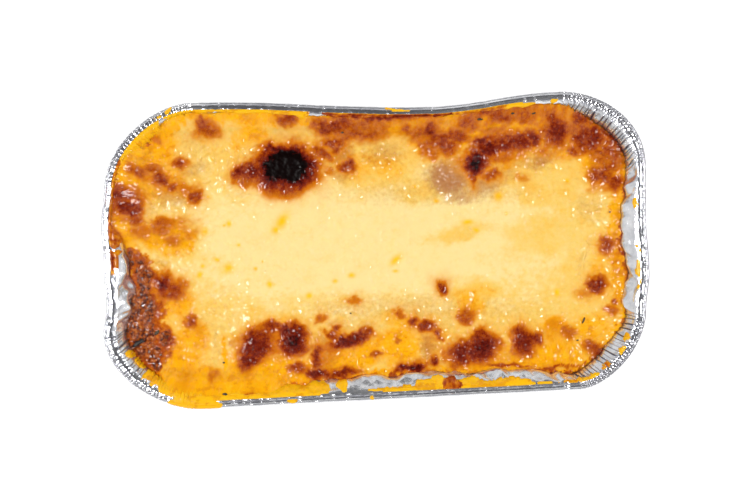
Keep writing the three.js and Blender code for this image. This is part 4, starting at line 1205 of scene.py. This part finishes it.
def cheese_material():
    """Cream to oily yellow, over it tan patches, two of them painted shade, veins, browning and open
    sauce, and a wet coat in beads."""
    colours = bpy.context.scene.lasagne_cheese
    constants = {
        "Roughness": 0.36, "Specular IOR Level": 0.06, "Coat Roughness": 0.07, "Coat IOR": 1.42,
        "Subsurface Weight": 0.18, "Subsurface Radius": (1.0, 0.55, 0.2), "Subsurface Scale": 0.0015,
    }
    material, nodes, shader = new_material("Melted cheese", constants)
    place = nodes.place()
    grain = nodes.food_grain(place)
    clouds = grain["Clouds"]
    wide = nodes.noise(place, 120.0, 4.0, 0.6)
    flecked = nodes.sum(grain["Mottle"], -0.5)
    speckled = nodes.sum(flecked, nodes.sum(grain["Fleck"], -0.5))
    browned = nodes.mark("browned")
    dry = nodes.step(browned, 0.5, 0.85)
    browned = nodes.sum(browned, nodes.product(speckled, nodes.step(browned, 0.1, 0.6), 0.5))
    yellow = nodes.sum(
        nodes.mark("yellow"),
        nodes.product(flecked, 0.25),
        nodes.product(nodes.sum(wide, -0.5), 0.25),
        nodes.product(nodes.sum(clouds, -0.38), 0.4),
    )
    tan = nodes.sum(nodes.mark("tan"), nodes.product(flecked, 0.5))
    sauce = nodes.mark("sauce")

    muddy = nodes.mix(nodes.step(nodes.mark("pink"), 0.0, 0.6), rgba(colours.tan), rgba(colours.pink))
    rich = nodes.step(yellow, 0.45, 1.0)
    baked = [(position, getattr(colours, name)) for position, name in BROWNING]
    colour = nodes.mix(nodes.step(yellow, 0.0, 0.5), rgba(colours.cream), rgba(colours.cream_deep))
    layers = (
        (nodes.step(yellow, 0.4, 0.9), rgba(colours.oily)),
        (nodes.mark("pits"), rgba(colours.pit)),
        (nodes.step(tan, 0.1, 0.9), muddy),
        (nodes.product(nodes.step(clouds, 0.47, 0.3), rich, 0.7), rgba(colours.pit)),
        (nodes.product(nodes.step(clouds, 0.52, 0.62), rich, 0.45), rgba(colours.orange)),
        (nodes.step(browned, 0.0, 0.2), colour_stops(nodes, browned, baked)),
        (nodes.step(sauce, 0.2, 0.8), sauce_colour(nodes, grain)),
    )
    for share, layer in layers:
        colour = nodes.mix(share, colour, layer)

    coloured = nodes.product(nodes.sum(nodes.mark("yellow"), nodes.mark("tan")), 0.5)
    busy = nodes.math("MINIMUM", nodes.sum(coloured, browned, 0.12), 1.0)
    wet = nodes.sum(
        nodes.product(busy, 0.8),
        wide,
        nodes.product(dry, -0.8),
        nodes.product(sauce, 0.9),
        nodes.product(nodes.mark("wet"), 0.6),
    )
    drops = nodes.step(nodes.noise(place, 700.0, 2.0, 0.6), 0.4, 0.52)
    beads = nodes.math("MAXIMUM", drops, nodes.product(sauce, 0.7))
    baked_dry = nodes.product(nodes.step(browned, 0.3, 0.6), -0.35)
    share = nodes.sum(0.75, baked_dry, nodes.product(sauce, 0.4))
    nodes.feed(nodes.product(nodes.step(wet, 0.32, 0.9), beads, share), shader.inputs["Coat Weight"])
    nodes.finish(shader, colour, nodes.product(grain["Height"], busy), 1.0, 0.0004)
    return material


def foil_material():
    """Mottled foil, stained near the smears, darkened by painted shade and painted reflection, with
    crumples too fine for the mesh.
    """
    sizes = bpy.context.scene.lasagne_tray
    material, nodes, shader = new_material("Aluminium foil", {"Metallic": 0.88})
    place = nodes.place()
    clouds = nodes.noise(place, 260.0, 3.0, 0.6)
    cells = nodes.add("ShaderNodeTexVoronoi", {"Vector": place, "Scale": 380.0}).outputs["Distance"]
    fine = nodes.noise(place, 1500.0, 3.0, 0.6)
    colour = nodes.mix(nodes.step(clouds, 0.3, 0.7), rgba(sizes.foil_dark), rgba(sizes.foil_light))
    colour = nodes.mix(nodes.step(nodes.mark("stain"), 0.1, 0.9), colour, rgba(sizes.stain))
    # Painted shade and painted reflection: the foil darkens towards its shadow colour by this mark.
    colour = nodes.mix(nodes.mark("painted_shade"), colour, rgba(sizes.foil_shadow))
    rough = nodes.add("ShaderNodeMapRange", {"Value": fine, "To Min": 0.14, "To Max": 0.28})
    nodes.feed(rough.outputs["Result"], shader.inputs["Roughness"])
    nodes.finish(shader, colour, nodes.sum(cells, nodes.product(fine, 0.25)), 0.35, 0.0006)
    return material


def sauce_colour(nodes, grain):
    """Sauce, darker mince and lighter tops, by the grain's coarse and fine values."""
    colours = bpy.context.scene.lasagne_sauce
    mottle = grain["Mottle"]
    colour = nodes.mix(nodes.step(mottle, 0.36, 0.56), rgba(colours.meat), rgba(colours.sauce))
    tops = nodes.step(nodes.sum(mottle, nodes.product(grain["Fleck"], 0.6)), 0.86, 1.04)
    return nodes.mix(tops, colour, rgba(colours.meat_light))


def sauce_material():
    """Wet meat sauce."""
    constants = {
        "Roughness": 0.3, "Specular IOR Level": 0.12, "Coat Weight": 0.9, "Coat Roughness": 0.06,
    }
    material, nodes, shader = new_material("Meat sauce", constants)
    grain = nodes.food_grain(nodes.place())
    nodes.finish(shader, sauce_colour(nodes, grain), grain["Height"], 0.7, 0.0006)
    return material


def fleck_material(name, dark, light):
    """A dry mottled fleck between two colours."""
    material, nodes, shader = new_material(name, {"Roughness": 0.45})
    mottle = nodes.noise(nodes.place(), 1600.0, 3.0, 0.6)
    colour = nodes.mix(nodes.step(mottle, 0.35, 0.65), rgba(dark), rgba(light))
    nodes.finish(shader, colour, mottle, 0.6, 0.0003)
    return material


# ---- Settings ------------------------------------------------------------------------------------
def length(name, description, value):
    return bpy.props.FloatProperty(
        name=name, description=description, default=value,
        unit="LENGTH", subtype="DISTANCE", precision=5,
    )


def colour(name, description, value):
    return bpy.props.FloatVectorProperty(
        name=name, description=description, default=value, subtype="COLOR", size=3, min=0.0, max=1.0
    )


def number(name, description, value, limit=100.0):
    return bpy.props.FloatProperty(
        name=name, description=description, default=value, min=0.0, max=limit
    )


class LasagneTraySettings(bpy.types.PropertyGroup):
    """Sizes and finish of the foil tray."""

    foil: length("Foil", "Thickness drawn for the foil", 0.00035)
    pleat_depth: length("Pleat depth", "Depth of the corner pleats at the rim", 0.0012)
    crimp_depth: length("Crimp depth", "Depth of the small creases on the rim's corners", 0.00045)
    crumple: length("Crumple", "Height of the flat crumples on the wall", 0.001)
    foil_light: colour("Light foil", "Bright side of the foil", (0.91, 0.915, 0.93))
    foil_dark: colour("Dull foil", "Dulled parts of the foil", (0.7, 0.71, 0.74))
    # Painted shade: the colour that the painted shade and painted reflection darken the foil towards.
    foil_shadow: colour("Foil in its folds", "Foil where it is folded double", (0.07, 0.065, 0.1))
    stain: colour("Stain", "Baked-on grease on the foil", (0.72, 0.42, 0.1))


class LasagneCheeseSettings(bpy.types.PropertyGroup):
    """Relief and colours of the melted cheese."""

    relief: number("Relief", "Strength of the fine relief", 1.2, 3.0)
    cream: colour("Cream", "Pale melted cheese", (0.86, 0.665, 0.285))
    cream_deep: colour("Deep cream", "Yellower melted cheese, nearer the border", (0.83, 0.54, 0.12))
    oily: colour("Oily yellow", "Cheese soaked with oil", (0.89, 0.4, 0.002))
    pit: colour("Oil pit", "Oil in a pinhole", (0.95, 0.5, 0.01))
    # Tan and pink tan also colour the two bands of painted shade across the cream.
    tan: colour("Tan", "Sauce dimly showing through", (0.46, 0.16, 0.02))
    pink: colour("Pink tan", "Meat dimly showing through", (0.44, 0.19, 0.065))
    golden: colour("Golden", "First browning", (0.76, 0.29, 0.002))
    orange: colour("Orange", "Browning that is still bright", (0.58, 0.16, 0.003))
    toasted: colour("Toasted", "Orange brown", (0.36, 0.058, 0.002))
    brown: colour("Brown", "Red brown", (0.2, 0.016, 0.001))
    dark: colour("Dark", "Dark red brown", (0.1, 0.004, 0.001))
    scorched: colour("Scorched", "Nearly burnt", (0.025, 0.001, 0.0005))
    burnt: colour("Burnt", "Charred", (0.003, 0.0006, 0.0005))


class LasagneSauceSettings(bpy.types.PropertyGroup):
    """Colours of the meat sauce."""

    sauce: colour("Sauce", "Tomato sauce", (0.32, 0.062, 0.005))
    meat: colour("Meat", "Cooked mince", (0.08, 0.012, 0.003))
    meat_light: colour("Light meat", "Tops of the mince", (0.5, 0.17, 0.035))


class LasagneStageSettings(bpy.types.PropertyGroup):
    """Floor, lights and camera."""

    camera_height: length("Camera height", "Camera above the floor", 2.0)
    frame_width: length("Frame width", "Width of the picture at the rim's height", 0.26)
    floor: colour("Floor", "Colour of the floor", (0.3, 0.3, 0.3))
    table_glow: number("Table glow", "How much the floor glows, like a light table", 0.85)
    sky: number("Sky", "Strength of the soft sky", 0.82)
    key: number("Key", "Power of the key light, in watts", 3.82)


# ---- Operators -----------------------------------------------------------------------------------
class LASAGNE_OT_foil_tray(bpy.types.Operator):
    """Build the crimped foil tray"""

    bl_idname = "lasagne.foil_tray"
    bl_label = "Foil tray"

    def execute(self, context):
        rings, painted_shade = foil_rings()
        points, faces = closed_rings(rings)
        painted_shade = np.concatenate([painted_shade.ravel(), [0.0, 0.0]])
        cover, _ = smear_cover(points[:, 0], points[:, 1], np.zeros(len(points)))
        on_wall = ramp(30, 36, points[:, 2]) * (1 - ramp(44.2, 44.5, points[:, 2]))
        # The stain is baked-on grease; the other mark is painted shade and painted reflection.
        marks = {"stain": 0.35 * ramp(-0.3, 0.0, cover) * on_wall, "painted_shade": painted_shade}
        add_piece("foil_tray_skin", points, faces, foil_material(), ("foil_tray",), marks)
        return {"FINISHED"}


class LASAGNE_OT_meat_sauce(bpy.types.Operator):
    """Build the filling of pasta and meat sauce"""

    bl_idname = "lasagne.meat_sauce"
    bl_label = "Meat sauce"

    def execute(self, context):
        rings = []
        for z, inset in FILLING_RINGS:
            line = food_outline(z)
            bump = 0.15 * soft_noise(line[:, 0] / 2.5, line[:, 1] / 2.5 + z, 91)
            line = line - plan_normals(line) * (inset - bump)[:, None]
            rings.append(np.column_stack([line, np.full(len(line), z)])[::FILLING_STRIDE])
        points, faces = closed_rings(np.stack(rings))
        material = sauce_material()
        add_piece("pasta_filling", points, faces, material, ("pasta_and_meat_sauce",))
        return {"FINISHED"}


class LASAGNE_OT_cheese(bpy.types.Operator):
    """Build the melted and browned cheese"""

    bl_idname = "lasagne.cheese"
    bl_label = "Melted cheese"

    def execute(self, context):
        points, faces, marks = cheese_mesh()
        add_piece("cheese_top", points, faces, cheese_material(), ("melted_cheese",), marks)
        return {"FINISHED"}


class LASAGNE_OT_smears(bpy.types.Operator):
    """Build the cheese that ran and splashed on the foil"""

    bl_idname = "lasagne.smears"
    bl_label = "Smears on the foil"

    def execute(self, context):
        foil = context.scene.lasagne_tray.foil / MM
        wall, rim, _, _ = tray_surface()
        section = [part for part in (*roll_section(), *FLANGE_SECTION) if part[0] < SMEAR_RIM_DEPTH]
        bands = [rim(drop, inset) for drop, inset in section]
        heights = (*LIP_HEIGHTS, *np.arange(*SMEAR_HEIGHTS))
        band = np.stack(bands + [wall(float(z), foil) for z in heights])
        x, y = band[..., 0], band[..., 1]
        on_rim = np.array([1 - ramp(2.4, 3.0, inset) for _, inset in section] + [0.0] * len(heights))
        cover, browned = smear_cover(x, y, on_rim[:, None])
        thick = SMEAR_THICKNESS * np.clip(cover, 0, 1.6)[..., None]
        dips = 0.1 * layered_noise(x / 0.9, y / 0.9, 2, 111)[..., None]
        normal = grid_normals(band)
        shown = cover > 0.0
        outer = band + normal * np.where(shown[..., None], thick * (1 + dips) + 0.02, SMEAR_DEPTH / 2)
        inner = band + normal * SMEAR_DEPTH
        beside = shown | np.roll(shown, -1, axis=1)
        points, faces, used = masked_shell(outer, inner, beside[:-1] | beside[1:])
        marks = {name: np.full(len(used), value) for name, value in SMEAR_MARKS.items()}
        marks["browned"] = browned.ravel()[used]
        cheese = bpy.data.materials["Melted cheese"]
        add_piece("cheese_smears", points, faces, cheese, (), marks)
        return {"FINISHED"}


class LASAGNE_OT_flecks(bpy.types.Operator):
    """Build the herb flecks and the burnt flake"""

    bl_idname = "lasagne.flecks"
    bl_label = "Flecks"

    def execute(self, context):
        herb = fleck_material("Dried herb", (0.02, 0.011, 0.003), (0.075, 0.04, 0.008))
        burnt = fleck_material("Burnt flake", (0.004, 0.004, 0.004), (0.03, 0.022, 0.018))
        probe = SurfaceProbe("cheese_top")
        blocks, quads, count = [], [], 0
        for n, (x, y, a, b, turn) in enumerate(HERB_FLECKS):
            level = probe.height(x, y) + 0.05
            points, faces = self.flake(x, y, level, a, b, HERB_THICKNESS, turn, 120 + n)
            blocks.append(points)
            quads.append([block + count for block in faces])
            count += len(points)
        joined = [np.concatenate([part[k] for part in quads]) for k in (0, 1)]
        add_piece("herb_flecks", np.concatenate(blocks), joined, herb)
        x, y, a, b, turn = BURNT_FLAKE
        level = probe.height(x, y) + 0.2
        points, faces = self.flake(x, y, level, a, b, BURNT_THICKNESS, turn, 140, rough=0.25, steps=24)
        add_piece("burnt_flake_chip", points, faces, burnt)
        return {"FINISHED"}

    def flake(self, x, y, z, a, b, thick, turn, seed, rough=0.12, steps=10):
        """A rough chip: rings round a flattened oval, its radius and faces frayed by noise."""
        angle = np.linspace(0, 2 * math.pi, steps, endpoint=False)
        ragged = 1 + rough * 1.6 * soft_noise(angle * 1.6, np.full(steps, seed * 0.7), seed)
        c, s = math.cos(math.radians(turn)), math.sin(math.radians(turn))
        rings = []
        for share, level in ((0.55, -0.5), (0.95, -0.3), (1.0, 0.2), (0.6, 0.5)):
            dx, dy = np.cos(angle) * a * share * ragged, np.sin(angle) * b * share * ragged
            uneven = soft_noise(angle * 2.1, np.full(steps, level * 3), seed + 1)
            lift = thick * level + rough * thick * uneven
            rings.append(np.column_stack([x + dx * c - dy * s, y + dx * s + dy * c, z + lift]))
        return closed_rings(np.stack(rings))


class SurfaceProbe:
    """Heights of a finished piece: the highest of its points near a place."""

    def __init__(self, name):
        mesh = bpy.data.objects[name].data
        flat = np.empty(len(mesh.vertices) * 3, dtype=np.float32)
        mesh.vertices.foreach_get("co", flat)
        self.points = flat.reshape(-1, 3) / MM

    def height(self, x, y):
        near = np.hypot(self.points[:, 0] - x, self.points[:, 1] - y)
        return float(self.points[near < max(0.6, near.min() + 0.01), 2].max())


class LASAGNE_OT_stage(bpy.types.Operator):
    """Build the floor, the lights and the camera"""

    bl_idname = "lasagne.stage"
    bl_label = "Stage"

    def execute(self, context):
        stage = context.scene.lasagne_stage
        self.floor(stage)
        self.sky(context, stage)
        self.lights(stage)
        self.camera(context, stage)
        return {"FINISHED"}

    def floor(self, stage):
        """A square floor, 4 m wide, that glows a little."""
        corners = [(-2, -2, 0), (2, -2, 0), (2, 2, 0), (-2, 2, 0)]
        mesh = bpy.data.meshes.new("floor")
        mesh.from_pydata(corners, [], [(0, 1, 2, 3)])
        constants = {
            "Base Color": rgba(stage.floor), "Roughness": 0.9,
            "Emission Color": (1.0, 1.0, 1.0, 1.0), "Emission Strength": stage.table_glow,
        }
        mesh.materials.append(new_material("Floor", constants)[0])
        floor = bpy.data.objects.new("floor", mesh)
        bpy.context.scene.collection.objects.link(floor)

    def sky(self, context, stage):
        """A soft tent of bright panels round the sides, dimmer on one of them and dark above. Each
        change of its brightness is a share to add to 1, and all of them are multiplied."""
        world = bpy.data.worlds.new("Tent")
        world.use_nodes = True
        world.node_tree.nodes.clear()
        nodes = Nodes(world.node_tree)
        direction = nodes.add("ShaderNodeTexCoord").outputs["Generated"]
        up = nodes.add("ShaderNodeSeparateXYZ", {"Vector": direction}).outputs["Z"]
        low = nodes.step(up, 0.4, 0.15)
        far = nodes.step(self.towards(nodes, direction, SKY_SIDE), 0.45, -0.35)
        seams = nodes.step(nodes.noise(direction, 2.6, 1.0, 0.5), 0.56, 0.44)
        changes = [nodes.product(far, low, -0.6), nodes.product(seams, low, -0.6)]
        for centre, share in SKY_PATCHES:
            patch = nodes.step(self.towards(nodes, direction, centre), 0.88, 0.94)
            changes.append(nodes.product(patch, share))
        strength = nodes.product(stage.sky, *(nodes.sum(change, 1.0) for change in changes))
        tint = colour_stops(nodes, up, SKY_STOPS)
        back = nodes.add("ShaderNodeBackground", {"Color": tint, "Strength": strength})
        nodes.add("ShaderNodeOutputWorld", {"Surface": back.outputs[0]})
        context.scene.world = world

    def towards(self, nodes, direction, centre):
        """How nearly a direction points at a centre: their dot product."""
        node = nodes.add("ShaderNodeVectorMath", {0: direction, 1: centre}, operation="DOT_PRODUCT")
        return node.outputs["Value"]

    def lights(self, stage):
        for name, place, size, power, tint in LIGHTS:
            light = bpy.data.lights.new(name, "AREA")
            light.shape = "DISK"
            light.size = size
            light.energy = power * stage.key
            light.color = tint
            lamp = bpy.data.objects.new(name, light)
            lamp.location = place
            lamp.rotation_euler = (-Vector(place)).to_track_quat("-Z", "Y").to_euler()
            bpy.context.scene.collection.objects.link(lamp)

    def camera(self, context, stage):
        """Straight down over the middle, its lens set so that the frame is as wide as asked at the
        rim."""
        camera = bpy.data.cameras.new("camera")
        rim_height = TRAY_HEIGHT * MM
        camera.sensor_width = 36.0
        camera.lens = camera.sensor_width * (stage.camera_height - rim_height) / stage.frame_width
        holder = bpy.data.objects.new("camera", camera)
        holder.location = (0.0, 0.0, stage.camera_height)
        bpy.context.scene.collection.objects.link(holder)
        context.scene.camera = holder
        context.scene.view_settings.view_transform = "Standard"


class LASAGNE_PT_panel(bpy.types.Panel):
    """Settings and build buttons in the sidebar"""

    bl_idname = "LASAGNE_PT_panel"
    bl_label = "Lasagne in a foil tray"
    bl_space_type = "VIEW_3D"
    bl_region_type = "UI"
    bl_category = "Lasagne"

    def draw(self, context):
        for settings in SETTINGS:
            box = self.layout.box()
            owner = getattr(context.scene, settings)
            for name in owner.__annotations__:
                box.prop(owner, name)
        for operator in OPERATORS:
            self.layout.operator(operator.bl_idname)


SETTINGS = {
    "lasagne_tray": LasagneTraySettings,
    "lasagne_cheese": LasagneCheeseSettings,
    "lasagne_sauce": LasagneSauceSettings,
    "lasagne_stage": LasagneStageSettings,
}
OPERATORS = (
    LASAGNE_OT_foil_tray,
    LASAGNE_OT_meat_sauce,
    LASAGNE_OT_cheese,
    LASAGNE_OT_smears,
    LASAGNE_OT_flecks,
    LASAGNE_OT_stage,
)


def register():
    for settings in SETTINGS.values():
        bpy.utils.register_class(settings)
    for name, settings in SETTINGS.items():
        setattr(bpy.types.Scene, name, bpy.props.PointerProperty(type=settings))
    for operator in OPERATORS:
        bpy.utils.register_class(operator)
    bpy.utils.register_class(LASAGNE_PT_panel)


def unregister():
    bpy.utils.unregister_class(LASAGNE_PT_panel)
    for operator in reversed(OPERATORS):
        bpy.utils.unregister_class(operator)
    for name, settings in SETTINGS.items():
        delattr(bpy.types.Scene, name)
        bpy.utils.unregister_class(settings)


def main():
    register()
    bpy.ops.lasagne.foil_tray()
    bpy.ops.lasagne.meat_sauce()
    bpy.ops.lasagne.cheese()
    bpy.ops.lasagne.smears()
    bpy.ops.lasagne.flecks()
    bpy.ops.lasagne.stage()


if __name__ == "__main__":
    main()
